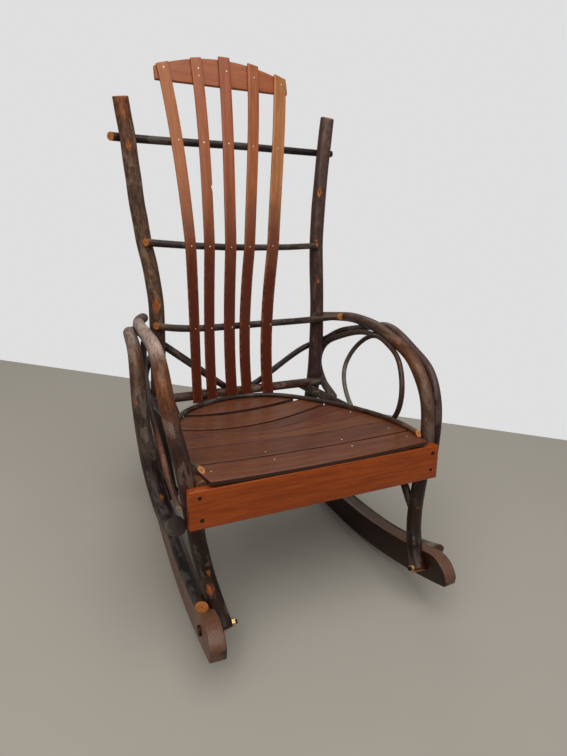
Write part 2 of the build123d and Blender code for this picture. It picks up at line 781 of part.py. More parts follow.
# side rods, the left one along the top of its rocker and the right one against its outer face
on_top = side_rod_radius - bedding / 2
beside = rocker_half() + side_rod_radius - bedding / 2
rod_places = {
    "left": ((-50, 9, on_top), (90, 9, on_top), (250, 7, on_top), (400, 2, on_top), (505, 0, on_top)),
    "right": (
        (-62, beside, -side_rod_radius / 2),
        (90, beside, -1.5 * side_rod_radius),
        (220, beside, -1.5 * side_rod_radius),
        (340, beside, -1.5 * side_rod_radius),
        (445, beside, -side_rod_radius),
    ),
}
for side, s in sides.items():
    points = []
    for y, out, rise in rod_places[side]:
        points.append((s * (rocker_middle(y) + out), y, rocker_over(y) + rise))
    if side == "left":
        post_near = post_at(side, points[-1][2])
        x = abs(post_near[0]) + post_radius_foot + side_rod_radius - bedding
        points[-1] = (s * x, points[-1][1], points[-1][2])
    rod = sapling(points, side_rod_radius, side_rod_radius - twig_taper, post_step, twig_flats)
    pieces[f"side_rod_{side}"] = cut(rod, rocker_tools[side], posts_grown[side], legs_grown[side])

# twig braces from the legs to the side rails
for side, s in sides.items():
    leg_low = along(leg_routes[side], 2, brace_foot_height)
    rail = along(rail_routes[side], 1, brace_rear)
    points = [
        (leg_low[0], leg_low[1] + leg_radius_foot - bedding, brace_foot_height),
        (leg_low[0], leg_low[1] + leg_radius_foot + 26, brace_foot_height + 24),
        (rail[0], brace_rear - 6, rail[2] - rail_radius + bedding),
    ]
    brace = sapling(points, brace_radius, brace_radius - twig_taper, twig_step, twig_flats)
    pieces[f"leg_brace_{side}"] = cut(brace, legs_grown[side], rails_grown[side])

# bolts through rocker and leg, and rocker and post, with washer and nut inside
rear_bolt_y = post_seat_y
for settle in range(4):
    rear_bolt_y = post_y(rocker_under(rear_bolt_y) + bolt_height)
for place, name, route, radius, hole_y in (
    ("front", "front_leg", leg_routes, leg_radius_foot, front_bolt_y),
    ("rear", "back_post", post_routes, post_radius_foot, rear_bolt_y),
):
    for side, s in sides.items():
        z = rocker_under(hole_y) + bolt_height
        stick_at = along(route[side], 2, z)
        outer = rocker_middle(hole_y) + rocker_half()
        seat = abs(stick_at[0]) - radius + bedding
        axis = Pos(s * outer, hole_y, z) * Rot(0, 0, rocker_toe_in * s) * Rot(0, -s * 90, 0)
        length = outer - seat
        thread = length + nut_height + bolt_tail
        shank = axis * Pos(0, 0, thread / 2 - joint_gap) * Cylinder(bolt_radius, thread)
        head = Cylinder(bolt_head_radius, bolt_head_height)
        head = axis * Pos(0, 0, -bolt_head_height / 2 - joint_gap) * head
        hole = Cylinder(bolt_radius + bolt_clearance, thread + 2 * spare)
        hole = axis * Pos(0, 0, thread / 2) * hole
        spot = axis * Pos(0, 0, length + spare) * Cylinder(spot_radius, 2 * spare)
        nut = extrude(RegularPolygon(nut_width / 2, 6, major_radius=False), amount=nut_height)
        nut = nut - Cylinder(bolt_radius + joint_gap, 3 * nut_height)
        nut = axis * Pos(0, 0, length + joint_gap) * nut
        pieces[f"bolt_{place}_{side}"] = (shank + head).solid()
        pieces[f"nut_{place}_{side}"] = nut.solid()
        pieces[f"{name}_{side}"] = cut(pieces[f"{name}_{side}"], hole, spot)
        pieces[f"rocker_{side}"] = cut(pieces[f"rocker_{side}"], hole)

# ---------------------------------------------------------------- export
box = Compound(list(pieces.values())).bounding_box()
middle = box.center()
shift = Pos(-middle.X, -middle.Y, -box.min.Z)
os.makedirs("parts", exist_ok=True)
for name, piece in pieces.items():
    export_step(shift * piece, f"parts/{name}.step")
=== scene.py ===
import logging
import math
from dataclasses import dataclass
from enum import Enum
from functools import partial

import bmesh
import bpy
import numpy as np
from mathutils import Matrix, Vector
from numpy.polynomial import polynomial


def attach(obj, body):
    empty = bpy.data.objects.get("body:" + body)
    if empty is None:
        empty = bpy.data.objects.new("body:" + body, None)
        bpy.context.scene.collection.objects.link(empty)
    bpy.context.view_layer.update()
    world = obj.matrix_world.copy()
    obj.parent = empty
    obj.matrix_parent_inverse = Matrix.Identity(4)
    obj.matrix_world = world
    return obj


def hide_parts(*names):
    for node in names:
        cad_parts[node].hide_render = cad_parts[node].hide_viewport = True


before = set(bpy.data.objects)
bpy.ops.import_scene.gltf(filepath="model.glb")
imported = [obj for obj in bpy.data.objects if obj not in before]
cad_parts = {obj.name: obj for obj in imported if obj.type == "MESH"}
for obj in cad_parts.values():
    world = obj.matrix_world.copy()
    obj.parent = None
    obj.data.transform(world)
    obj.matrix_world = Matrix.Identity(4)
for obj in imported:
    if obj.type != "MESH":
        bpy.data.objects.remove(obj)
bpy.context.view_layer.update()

LOG = logging.getLogger("rocking_chair")
MM = 0.001
LINE_STEPS = 900  # points kept on a centreline
SHIFT = (-1.93, -307.5, 0.0)  # from the chair's own origin, at the front board's top edge, to the frame's
Colour = tuple[float, float, float]
Paint = tuple[int, int, int]
Point = tuple[float, float, float]
Pairs = tuple[tuple[float, float], ...]
Socket = bpy.types.NodeSocket
Materials = dict[str, bpy.types.Material]


def paint(red: int, green: int, blue: int) -> Colour:
    """Turn a 0 to 255 paint colour into the linear one that a shader socket takes.

    Args:
        red, green, blue: the colour's parts.
    Returns:
        The linear colour.
    """
    return tuple(
        ((part / 255 + 0.055) / 1.055) ** 2.4 if part > 10 else part / 3295 for part in (red, green, blue)
    )


def place(points: np.ndarray) -> np.ndarray:
    """Turn millimetres from the chair's own origin into metres in the frame."""
    return (np.asarray(points, float) + np.array(SHIFT)) * MM


def smooth(x: np.ndarray) -> np.ndarray:
    """Ease a value from 0 to 1."""
    x = np.clip(x, 0, 1)
    return x * x * (3 - 2 * x)


def stand(name: str, data: bpy.types.ID) -> bpy.types.Object:
    """Put new data in the scene as an object."""
    thing = bpy.data.objects.new(name, data)
    bpy.context.scene.collection.objects.link(thing)
    return thing


# ---------------------------------------------------------------- node building
def feed(tree: bpy.types.NodeTree, socket: Socket, value: object) -> None:
    """Give an input a link or a constant.

    Args:
        tree: the node tree.
        socket: the input.
        value: another socket, a number, a vector or a colour.
    """
    if isinstance(value, Socket):
        tree.links.new(value, socket)
    elif isinstance(value, tuple) and len(value) == 3 and socket.type == "RGBA":
        socket.default_value = (*value, 1)
    else:
        socket.default_value = value


def add_node(
    tree: bpy.types.NodeTree, kind: str, inputs: dict[str | int, object], **settings: object
) -> bpy.types.Node:
    """Add a node, with its settings and inputs.

    Args:
        tree: the node tree.
        kind: the node's type.
        inputs: sockets or constants, by the input's name or number.
        settings: properties to set on the node.
    Returns:
        The node.
    """
    node = tree.nodes.new(kind)
    for key, value in settings.items():
        setattr(node, key, value)
    for key, value in inputs.items():
        feed(tree, node.inputs[key], value)
    return node


@dataclass(frozen=True)
class Pattern:
    """A noise stretched along the wood's grain."""

    stretch: Point
    scale: float
    detail: float = 4
    rough: float = 0.55
    warp: float = 0


BARK_RIDGES = Pattern((0.28, 1, 1), 210, 6, 0.62, 0.6)
BARK_CLOUD = Pattern((0.45, 1, 1), 42, 5, 0.6, 0.4)
BARK_FINE = Pattern((0.8, 1, 1), 900, 3, 0.6)
BARK_RINGS = Pattern((1, 0.12, 0.12), 330, 3, 0.5)
BARK_PATCHES = Pattern((0.35, 1, 1), 26, 5, 0.62, 0.5)
BARE_FIBRE = Pattern((0.10, 1, 1), 330)
END_SAW = Pattern((1, 0.2, 1.6), 1500, 2)
BOARD_FIGURE = Pattern((0.06, 1, 1), 85, 5, 0.6, 1.2)
BOARD_FIBRE = Pattern((0.035, 1, 1), 520, 5, 0.65, 0.3)
BOARD_PORES = Pattern((0.05, 1, 1), 1500, 2, 0.5)
BOARD_CLOUD = Pattern((0.5, 1, 1), 13, 4, 0.6, 0.3)
BOARD_SAW = Pattern((1, 0.08, 0.08), 260, 2, 0.5)
STEEL_SCRATCH = Pattern((1, 1, 0.1), 2600, 2)
BARK_SHADE = (0.30, 0.26, 0.25)
BARK_GLOW = (1.45, 1.45, 1.45)
PORE_SHADE = (0.45, 0.45, 0.45)
LICHEN = (0.42, 0.37, 0.31)
SPECK = (0.42, 0.36, 0.29)
NO_SHIFT = (0.0, 0.0, 0.0)


class Nodes:
    """A small hand for wiring one material's nodes."""

    def __init__(self, name: str) -> None:
        """Start a material with an empty surface.

        Args:
            name: the material's name.
        """
        self.material = bpy.data.materials.new(name)
        self.material.use_nodes = True
        self.tree = self.material.node_tree
        self.tree.nodes.clear()
        self.surface = self.add("BsdfPrincipled", {})
        self.add("OutputMaterial", {0: self.surface.outputs[0]})

    def add(self, kind: str, inputs: dict[str | int, object], **settings: object) -> bpy.types.Node:
        """Add a shader node, its kind without the ShaderNode prefix."""
        return add_node(self.tree, "ShaderNode" + kind, inputs, **settings)

    def attribute(self, name: str, output: str = "Fac") -> Socket:
        """Read a mesh attribute."""
        return self.add("Attribute", {}, attribute_name=name).outputs[output]

    def pattern(self, source: Socket, kind: Pattern, shift: Point = NO_SHIFT) -> Socket:
        """A pattern's value on stretched and moved coordinates.

        Args:
            source: the coordinates.
            kind: the pattern.
            shift: offset after stretching.
        Returns:
            Its factor.
        """
        moved = self.add("Mapping", {"Vector": source, "Scale": kind.stretch, "Location": shift})
        return self.noise(moved.outputs[0], kind.scale, kind.detail, kind.rough, kind.warp)

    def noise(
        self, source: Socket, scale: float, detail: float = 4, rough: float = 0.55, warp: float = 0
    ) -> Socket:
        """A fractal noise value.

        Args:
            source: the coordinates.
            scale, detail, rough, warp: the noise's settings.
        Returns:
            Its factor.
        """
        inputs = {"Vector": source, "Scale": scale, "Detail": detail, "Roughness": rough, "Distortion": warp}
        return self.add("TexNoise", inputs).outputs[0]

    def ramp(self, source: Socket, low: float, high: float, start: float = 0, end: float = 1) -> Socket:
        """Spread a value between two limits smoothly onto another range.

        Args:
            source: the value.
            low, high: where the spread starts and ends.
            start, end: the values there.
        Returns:
            The spread value.
        """
        inputs = dict(enumerate((source, low, high, start, end)))
        return self.add("MapRange", inputs, interpolation_type="SMOOTHSTEP").outputs[0]

    def math(self, kind: str, a: object, b: object = 0.0) -> Socket:
        """Combine two values."""
        return self.add("Math", {0: a, 1: b}, operation=kind).outputs[0]

    def plus(self, a: object, b: object) -> Socket:
        """Add two values."""
        return self.math("ADD", a, b)

    def times(self, a: object, b: object) -> Socket:
        """Multiply two values."""
        return self.math("MULTIPLY", a, b)

    def swing(self, value: Socket, reach: float) -> Socket:
        """Centre a 0 to 1 value on zero and scale it."""
        return self.times(self.math("SUBTRACT", value, 0.5), reach)

    def multiply(self, a: object, b: object) -> Socket:
        """Multiply two colours."""
        return self.mix(1.0, a, b, "MULTIPLY")

    def mix(self, share: object, a: object, b: object, kind: str = "MIX") -> Socket:
        """Mix two colours.

        Args:
            share: how much of the second.
            a, b: the colours, as sockets or constants.
            kind: the blend's type.
        Returns:
            The mixed colour.
        """
        return self.add("Mix", {0: share, 6: a, 7: b}, data_type="RGBA", blend_type=kind).outputs[2]

    def bump(self, *layers: tuple[Socket, float]) -> None:
        """Stack bump layers on the surface's normal.

        Args:
            layers: pairs of a height value and its depth in metres.
        """
        below = {}
        for height, depth in layers:
            node = self.add("Bump", {"Strength": 1.0, "Distance": depth, "Height": height, **below})
            below = {"Normal": node.outputs[0]}
        self.set(**below)

    def set(self, **values: object) -> None:
        """Set the surface's own sockets by name, with _ for a space."""
        for key, value in values.items():
            feed(self.tree, self.surface.inputs[key.replace("_", " ")], value)


# ---------------------------------------------------------------- finishes
@dataclass(frozen=True)
class BarkFinish:
    """Varnished bark, painted along the stick by its own attributes."""

    name: str
    fissures: float
    mottle: float
    specks: float
    patches: float
    relief: float
    roughness: float
    coat: float
    shift: float
    bare_light: Colour = paint(178, 100, 36)
    bare_dark: Colour = paint(98, 44, 18)
    knot_eye: Colour = paint(54, 26, 14)

    def build(self) -> bpy.types.Material:
        """Make the bark's material.

        Returns:
            The material.
        """
        n = Nodes(self.name)
        grain = n.attribute("grain", "Vector")
        tone = n.attribute("tone", "Color")
        peel = n.attribute("peel")
        off = (self.shift, self.shift * 0.7, self.shift * 1.3)
        ridges = n.pattern(grain, BARK_RIDGES, off)
        cloud = n.pattern(grain, BARK_CLOUD, off)
        fine = n.pattern(grain, BARK_FINE, off)
        rings = n.pattern(grain, BARK_RINGS, off)
        dark = n.multiply(tone, BARK_SHADE)
        light = n.mix(0.22, n.multiply(tone, BARK_GLOW), LICHEN)
        base = n.mix(n.ramp(ridges, 0.46, 0.58, 0, self.fissures), tone, dark)
        base = n.mix(n.ramp(cloud, 0.53, 0.64, 0, self.mottle), base, light)
        base = n.mix(n.ramp(cloud, 0.47, 0.37, 0, self.mottle), base, dark)
        speck = n.times(n.ramp(fine, 0.60, 0.68, 0, self.specks), n.ramp(cloud, 0.50, 0.60))
        base = n.mix(speck, base, SPECK)
        fibre = n.ramp(n.pattern(grain, BARE_FIBRE, off), 0.35, 0.7)
        wood = n.mix(fibre, self.bare_light, self.bare_dark)
        ragged = n.plus(n.swing(cloud, 0.9), n.swing(ridges, 0.8))
        bare = n.ramp(n.plus(peel, ragged), 0.36, 0.72)
        spread = n.pattern(grain, BARK_PATCHES, (off[2], off[0], off[1]))
        low, high = 0.72 - 0.16 * self.patches, 0.80 - 0.12 * self.patches
        bare = n.math("MAXIMUM", bare, n.ramp(spread, low, high, 0, 0.8))
        eye = n.ramp(peel, 0.98, 1.12, 0, 0.85)
        base = n.mix(bare, base, n.mix(eye, wood, self.knot_eye))
        sheen = n.ramp(cloud, 0.3, 0.7, self.roughness - 0.1, self.roughness + 0.14)
        n.set(Base_Color=base, Coat_Weight=self.coat, Coat_Roughness=0.22, IOR=1.45, Specular_IOR_Level=0.2)
        n.set(Roughness=n.plus(sheen, n.times(bare, -0.1)))
        flat = n.math("SUBTRACT", 1.0, n.times(bare, 0.7))
        relief = self.relief
        n.bump((n.times(ridges, flat), relief * 2.2), (rings, relief * 0.5), (fine, relief * 0.25))
        return n.material


@dataclass(frozen=True)
class EndGrain:
    """A sawn stick's end: growth rings round the pith."""

    name: str
    light: Colour
    dark: Colour
    ring_pace: float = 4200.0
    wobble: float = 6.0

    def build(self) -> bpy.types.Material:
        """Make the sawn end's material.

        Returns:
            The material.
        """
        n = Nodes(self.name)
        grain = n.attribute("grain", "Vector")
        split = n.add("SeparateXYZ", {0: grain}).outputs
        flat = n.add("CombineXYZ", {1: split[1], 2: split[2]}).outputs[0]
        reach = n.add("VectorMath", {0: flat}, operation="LENGTH").outputs["Value"]
        stray = n.times(n.noise(grain, 160, 3), self.wobble)
        wave = n.math("SINE", n.plus(n.times(reach, self.ring_pace), stray))
        rings = n.ramp(wave, -0.6, 1.0, 0, 0.45)
        pith = n.ramp(reach, 0.0035, 0.001, 0, 0.8)
        saw = n.pattern(grain, END_SAW)
        base = n.mix(n.math("MAXIMUM", rings, pith), self.light, self.dark)
        base = n.mix(n.ramp(n.noise(grain, 90, 4), 0.5, 0.75, 0, 0.5), base, self.dark)
        n.set(Base_Color=base, Roughness=0.55, Coat_Weight=0.1)
        n.bump((saw, 0.0003), (rings, 0.0002))
        return n.material


@dataclass(frozen=True)
class VarnishedBoard:
    """Sawn and varnished wood with its grain along the board."""

    name: str
    light: Colour
    mid: Colour
    dark: Colour
    streaks: float
    shift: float
    blotch: float = 0.3
    roughness: float = 0.28
    coat: float = 0.28
    relief: float = 0.00025
    ripple: float = 0.0
    foot: Colour | None = None
    fade: tuple[float, float] = (0.60, 0.90)
    # rim colours the sawn sides and ends, and back the back face; on the seat slats both are painted shade,
    # and on the rockers back is painted shade on the inner faces
    rim: Colour | None = None
    back: Colour | None = None

    def build(self) -> bpy.types.Material:
        """Make the board's material.

        Returns:
            The material.
        """
        n = Nodes(self.name)
        grain = n.attribute("grain", "Vector")
        off = (self.shift, self.shift * 1.7, self.shift * 0.6)
        figure = n.pattern(grain, BOARD_FIGURE, off)
        fibre = n.pattern(grain, BOARD_FIBRE, off)
        pores = n.pattern(grain, BOARD_PORES, off)
        cloud = n.pattern(grain, BOARD_CLOUD, off)
        base = n.mix(n.ramp(figure, 0.34, 0.64), self.light, self.mid)
        base = n.mix(n.ramp(fibre, 0.48, 0.70, 0, self.streaks), base, self.dark)
        if self.foot:
            height = n.add("SeparateXYZ", {0: n.add("TexCoord", {}).outputs["Object"]}).outputs[2]
            low = n.plus(height, n.swing(cloud, 0.25))
            foot = n.mix(n.ramp(fibre, 0.4, 0.7, 0, 0.6), self.foot, self.dark)
            base = n.mix(n.ramp(low, self.fade[1], self.fade[0], 0, 1), base, foot)
        base = n.mix(n.ramp(cloud, 0.52, 0.76, 0, self.blotch), base, self.dark)
        base = n.mix(n.ramp(pores, 0.62, 0.72, 0, 0.55), base, n.multiply(self.dark, PORE_SHADE))
        wear = n.times(n.attribute("edge"), n.ramp(n.noise(grain, 70, 4), 0.42, 0.66, 0, 0.5))
        base = n.mix(wear, base, self.light)
        # Painted shade: the seat slats' sawn sides and undersides and the rockers' inner faces are darkened
        # for the shade in the gaps, under the seat and inside the rockers; the rockers' top, bottom and ends
        # take a greyer tone.
        for name, colour in (("rim", self.rim), ("back", self.back)):
            if colour:
                wear_and_painted_light = n.mix(n.ramp(fibre, 0.42, 0.66, 0, 0.6), colour, self.dark)
                base = n.mix(n.ramp(n.attribute(name), 0.3, 0.9), base, wear_and_painted_light)
        n.set(Base_Color=base, Coat_Weight=self.coat, Coat_Roughness=0.16, IOR=1.48, Specular_IOR_Level=0.2)
        n.set(Roughness=n.ramp(cloud, 0.3, 0.75, self.roughness, self.roughness + 0.22))
        layers = [(fibre, self.relief), (pores, self.relief * 0.6)]
        if self.ripple:
            layers.append((n.pattern(grain, BOARD_SAW, off), self.ripple))
        n.bump(*layers)
        return n.material


@dataclass(frozen=True)
class PlatedSteel:
    """Zinc-plated or bright steel, dulled and a little stained."""

    name: str
    colour: Colour
    stain: Colour
    roughness: float

    def build(self) -> bpy.types.Material:
        """Make the metal's material.

        Returns:
            The material.
        """
        n = Nodes(self.name)
        spot = n.add("TexCoord", {}).outputs["Object"]
        cloud = n.noise(spot, 320, 4)
        scratch = n.pattern(spot, STEEL_SCRATCH)
        n.set(Base_Color=n.mix(n.ramp(cloud, 0.5, 0.75, 0, 0.8), self.colour, self.stain), Metallic=1.0)
        n.set(Roughness=n.ramp(cloud, 0.3, 0.7, self.roughness, self.roughness + 0.25))
        n.bump((scratch, 0.00008))
        return n.material


# ---------------------------------------------------------------- curves
def end_slope(t: np.ndarray, points: np.ndarray, at: float) -> np.ndarray:
    """Slope of the polynomial through a few points.

    Args:
        t, points: the points and their parameters.
        at: the parameter where the slope is wanted.
    Returns:
        The slope there.
    """
    parts = polynomial.polyfit(t, points, len(t) - 1)
    return polynomial.polyval(at, polynomial.polyder(parts))


class Centreline:
    """A smooth line through a stick's route, measured by length."""

    def __init__(self, route: tuple[Point, ...] | np.ndarray) -> None:
        """Fit the line.

        Args:
            route: the points that it passes through.
        """
        points = np.array(route, float)
        steps = np.linalg.norm(np.diff(points, axis=0), axis=1)
        knots = np.concatenate([[0], np.cumsum(steps)]) / steps.sum()
        share = np.linspace(0, 1, LINE_STEPS)
        if len(points) == 2:
            line = points[0] + (points[1] - points[0]) * share[:, None]
        else:
            line = self._spline(points, knots, share)
        runs = np.linalg.norm(np.diff(line, axis=0), axis=1)
        self.at = np.concatenate([[0], np.cumsum(runs)])
        self.length = float(self.at[-1])
        self.share = share
        self.line = line
        tangent = np.gradient(line, axis=0)
        self.tangent = tangent / np.linalg.norm(tangent, axis=1)[:, None]
        self.across = self._carry()

    @staticmethod
    def _spline(points: np.ndarray, knots: np.ndarray, share: np.ndarray) -> np.ndarray:
        """Pass a cubic through the points, its end slopes taken from the first and last few.

        Args:
            points, knots: the points and their parameters.
            share: where the line is wanted.
        Returns:
            The line's points.
        """
        count = len(points)
        reach = min(4, count)
        h = np.diff(knots)
        system = np.eye(count)
        right = np.zeros((count, 3))
        right[0] = end_slope(knots[:reach], points[:reach], knots[0])
        right[-1] = end_slope(knots[-reach:], points[-reach:], knots[-1])
        for i in range(1, count - 1):
            system[i, i - 1 : i + 2] = (h[i], 2 * (h[i - 1] + h[i]), h[i - 1])
            before, after = points[i] - points[i - 1], points[i + 1] - points[i]
            right[i] = 3 * (h[i] * before / h[i - 1] + h[i - 1] * after / h[i])
        slopes = np.linalg.solve(system, right)
        cell = np.clip(np.searchsorted(knots, share, side="right") - 1, 0, count - 2)
        u = ((share - knots[cell]) / h[cell])[:, None]
        a, b = points[cell], points[cell + 1]
        ma, mb = slopes[cell] * h[cell][:, None], slopes[cell + 1] * h[cell][:, None]
        start = (2 * u**3 - 3 * u**2 + 1) * a + (u**3 - 2 * u**2 + u) * ma
        return start + (3 * u**2 - 2 * u**3) * b + (u**3 - u**2) * mb

    def _carry(self) -> np.ndarray:
        """Carry one sideways direction along the line without twisting it.

        Returns:
            A direction at each of the line's points.
        """
        first = self.tangent[0]
        side = np.cross(first, (0, 0, 1)) if abs(first[2]) < 0.9 else np.cross(first, (0, 1, 0))
        found = []
        for direction in self.tangent:
            side = side - direction * side.dot(direction)
            side = side / np.linalg.norm(side)
            found.append(side)
        return np.array(found)

    def look(self, table: np.ndarray, s: np.ndarray) -> np.ndarray:
        """Read one of the line's tables at lengths s.

        Args:
            table: values at the line's points.
            s: lengths, of any shape.
        Returns:
            The values there.
        """
        return np.stack([np.interp(s, self.at, table[:, i]) for i in range(3)], axis=-1)


SWELLS = 5  # chance waves on each stick
SWELL_PITCH = (9, 70)
SWELL_LOBES = 4
SWELL_LIMIT = 2.2
FULL_TURN = 6.3
KNOT_REACH = 1.15  # how far bare wood runs, in the knot's own sizes
KNOT_FALL = 1.6
HOLLOW_FALL, HOLLOW_SHARE = 16, 0.9
END_EASE, END_DROP = 0.0012, 0.10
END_RINGS = (0.9, 0.45)
WEAR_AND_SHEEN_FADE = 0.06
CUT_ZONE = 5  # radii over which a slanted cut pulls the rings


class Cut(Enum):
    """How a stick's end is sawn."""

    SQUARE = 0.0
    EASY = 0.16
    SLANT = 0.6
    BEVEL = 1.15


@dataclass(frozen=True)
class Knot:
    """A pruned branch: a swelling with a diamond of bare wood, in millimetres."""

    share: float
    facing: Point
    length: float
    width: float
    rise: float
    bare: float = 1.0


@dataclass
class Stick:
    """A sapling in its bark, replacing the CAD node of the same route.

    Routes, radii, knots, the skipped start and the rings' pace are in millimetres. Each tone is a share
    of the length and a paint colour, and the pale colour for the upward faces gives two shares, an amount
    and that colour, which stands partly for wear and partly for painted sheen.
    """

    name: str
    route: tuple[Point, ...]
    butt: float
    tip: float
    slot: str
    tones: tuple[tuple[float, int, int, int], ...]
    finish: str = "bark_smooth"
    knots: tuple[Knot, ...] = ()
    sawn: str = "end_grain"
    start_cut: tuple[Cut, Point] = (Cut.SQUARE, (0, 0, 1))
    end_cut: tuple[Cut, Point] = (Cut.SQUARE, (0, 0, 1))
    # pale colour on the upward faces between two shares: partly wear, partly painted sheen
    wear_and_painted_light: tuple[float, float, float, Paint] | None = None
    lumps: float = 0.02
    skip: float = 0.0
    seed: int = 1
    around: int = 32
    pace: float = 3.0

    def mesh(self) -> bpy.types.Mesh:
        """Build the stick's skin, swollen at its knots and closed at both cuts.

        Returns:
            The mesh, with the attributes that its bark is painted by.
        """
        line = Centreline(place(self.route))
        rings = max(8, int(line.length / (self.pace * MM)))
        turn = np.linspace(0, 2 * math.pi, self.around, endpoint=False)
        skip = self.skip * MM
        s = np.repeat(np.linspace(skip, line.length, rings)[:, None], self.around, axis=1)
        s = self._cut(s, line, turn)
        base = self._girth(s, line)
        radius = base * (1 + self.lumps * self._swell(s, turn) / SWELL_LIMIT)
        tangent = line.look(line.tangent, s)
        across = line.look(line.across, s)
        across /= np.linalg.norm(across, axis=-1)[..., None]
        up = np.cross(tangent, across)
        peel = np.zeros_like(s)
        for knot in self.knots:
            along, aside = self._near(knot, s, line, turn, base)
            reach = along**2 + aside**2
            rise = knot.rise * MM
            radius += rise * (np.exp(-reach * KNOT_FALL) - HOLLOW_SHARE * np.exp(-reach * HOLLOW_FALL))
            peel = np.maximum(peel, knot.bare * np.clip(KNOT_REACH - abs(along) - abs(aside), 0, 1))
        edge = np.minimum(s - skip, line.length - s)
        radius *= 1 - END_DROP * np.exp(-((edge / END_EASE) ** 2))
        out = across * np.cos(turn)[None, :, None] + up * np.sin(turn)[None, :, None]
        spot = line.look(line.line, s) + out * radius[..., None]
        tone = self._tone(s / line.length, out[..., 2])
        grain = np.stack([s, np.cos(turn)[None, :] * base, np.sin(turn)[None, :] * base], -1)
        return self._wrap(spot, tone, peel, grain)

    def _girth(self, s: np.ndarray, line: Centreline) -> np.ndarray:
        """The shaved stick's radius at lengths s, in metres."""
        return (self.butt + (self.tip - self.butt) * np.interp(s, line.at, line.share)) * MM

    def _swell(self, s: np.ndarray, turn: np.ndarray) -> np.ndarray:
        """A few chance waves along and round the stick.

        Args:
            s: each vertex's length along the stick.
            turn: the angles round it.
        Returns:
            The waves' sum.
        """
        chance = np.random.default_rng(self.seed)
        swell = np.zeros_like(s)
        for _ in range(SWELLS):
            pitch = chance.uniform(*SWELL_PITCH)
            lobes = int(chance.integers(0, SWELL_LOBES))
            phase = chance.uniform(0, FULL_TURN, 2)
            wave = np.sin(s * pitch + phase[0]) * np.cos(lobes * turn[None, :] + phase[1])
            swell += wave * chance.uniform(0.3, 1)
        return swell

    @staticmethod
    def _near(
        knot: Knot, s: np.ndarray, line: Centreline, turn: np.ndarray, base: np.ndarray
    ) -> tuple[np.ndarray, np.ndarray]:
        """How far each vertex lies from a knot, along the stick and round it.

        Args:
            knot: the knot.
            s, line, turn, base: the vertices' lengths, the centreline, the angles and the radii.
        Returns:
            Both distances, in the knot's own length and width.
        """
        centre = knot.share * line.length
        facing = np.array(knot.facing, float)
        middle = int(np.argmin(abs(line.at - centre)))
        side, direction = line.across[middle], line.tangent[middle]
        angle = math.atan2(facing.dot(np.cross(direction, side)), facing.dot(side))
        around = np.angle(np.exp(1j * (turn[None, :] - angle))) * base
        return (s - centre) / (knot.length * MM), around / (knot.width * MM)

    def _tone(self, share: np.ndarray, up: np.ndarray) -> np.ndarray:
        """The bark's colour at each vertex, paler on the upward faces where the stick says so: partly wear,
        partly painted sheen.

        Args:
            share: how far along the stick each vertex lies.
            up: how far upwards it faces.
        Returns:
            The linear colours.
        """
        marks = [row[0] for row in self.tones]
        colours = [paint(*row[1:]) for row in self.tones]
        tone = np.stack([np.interp(share, marks, [colour[i] for colour in colours]) for i in range(3)], -1)
        if self.wear_and_painted_light:
            # Paler on the upward faces: partly wear, partly painted sheen.
            low, high, amount, colour = self.wear_and_painted_light
            window = smooth((share - low) / WEAR_AND_SHEEN_FADE) * smooth((high - share) / WEAR_AND_SHEEN_FADE)
            part = (window * smooth(up * 1.1 + 0.25) * amount)[..., None]
            tone = tone * (1 - part) + np.array(paint(*colour)) * part
        return tone

    def _cut(self, s: np.ndarray, line: Centreline, turn: np.ndarray) -> np.ndarray:
        """Slant the last rings to the saw's cut at each end.

        Args:
            s: each vertex's length along the stick.
            line: the centreline.
            turn: the angles round it.
        Returns:
            The slanted lengths.
        """
        base = self._girth(s, line)
        s = s.copy()
        for end, (cut, facing) in ((0, self.start_cut), (1, self.end_cut)):
            if cut is Cut.SQUARE:
                continue
            index = -1 if end else 0
            side, direction = line.across[index], line.tangent[index]
            other = np.cross(direction, side)
            angle = math.atan2(np.dot(facing, other), np.dot(facing, side))
            radius = base[index].mean()
            back = radius * (1 + np.cos(turn - angle)) * cut.value
            zone = CUT_ZONE * radius
            reach = (s - (line.length - zone)) if end else (zone - s)
            pull = np.clip(reach / zone, 0, 1) * back[None, :]
            s = s - pull if end else s + pull
        return s

    def _wrap(
        self, spot: np.ndarray, tone: np.ndarray, peel: np.ndarray, grain: np.ndarray
    ) -> bpy.types.Mesh:
        """Join the rings into a closed mesh.

        Args:
            spot, tone, peel, grain: each vertex's place and paint.
        Returns:
            The mesh.
        """
        rings, around = spot.shape[:2]
        index = np.arange(rings * around).reshape(rings, around)
        a, b = index[:-1], index[1:]
        faces = np.stack([a, np.roll(a, -1, 1), np.roll(b, -1, 1), b], -1).reshape(-1, 4).tolist()
        verts = [spot.reshape(-1, 3)]
        tones = [tone.reshape(-1, 3)]
        peels = [peel.reshape(-1)]
        grains = [grain.reshape(-1, 3)]
        total = rings * around
        bark = len(faces)
        for end in (0, rings - 1):
            ring = index[end].tolist()
            centre = spot[end].mean(axis=0)
            outer = total
            shrunk = [centre + (spot[end] - centre) * k for k in END_RINGS]
            verts += [*shrunk, centre[None]]
            for k in (*END_RINGS, 0.0):
                part = grain[end].copy() if k else grain[end][:1].copy()
                part[:, 1:] *= k
                grains.append(part)
            count = 2 * around + 1
            tones.append(np.tile(tone[end].mean(axis=0), (count, 1)))
            peels.append(np.zeros(count))
            hub = outer + 2 * around
            loops = [ring, list(range(outer, outer + around)), list(range(outer + around, hub))]
            flip = end == 0
            for first, second in zip(loops, loops[1:]):
                for i in range(around):
                    j = (i + 1) % around
                    face = [first[i], first[j], second[j], second[i]]
                    faces.append(face[::-1] if flip else face)
            for i in range(around):
                face = [loops[2][i], loops[2][(i + 1) % around], hub]
                faces.append(face[::-1] if flip else face)
            total += count
        mesh = bpy.data.meshes.new(self.name)
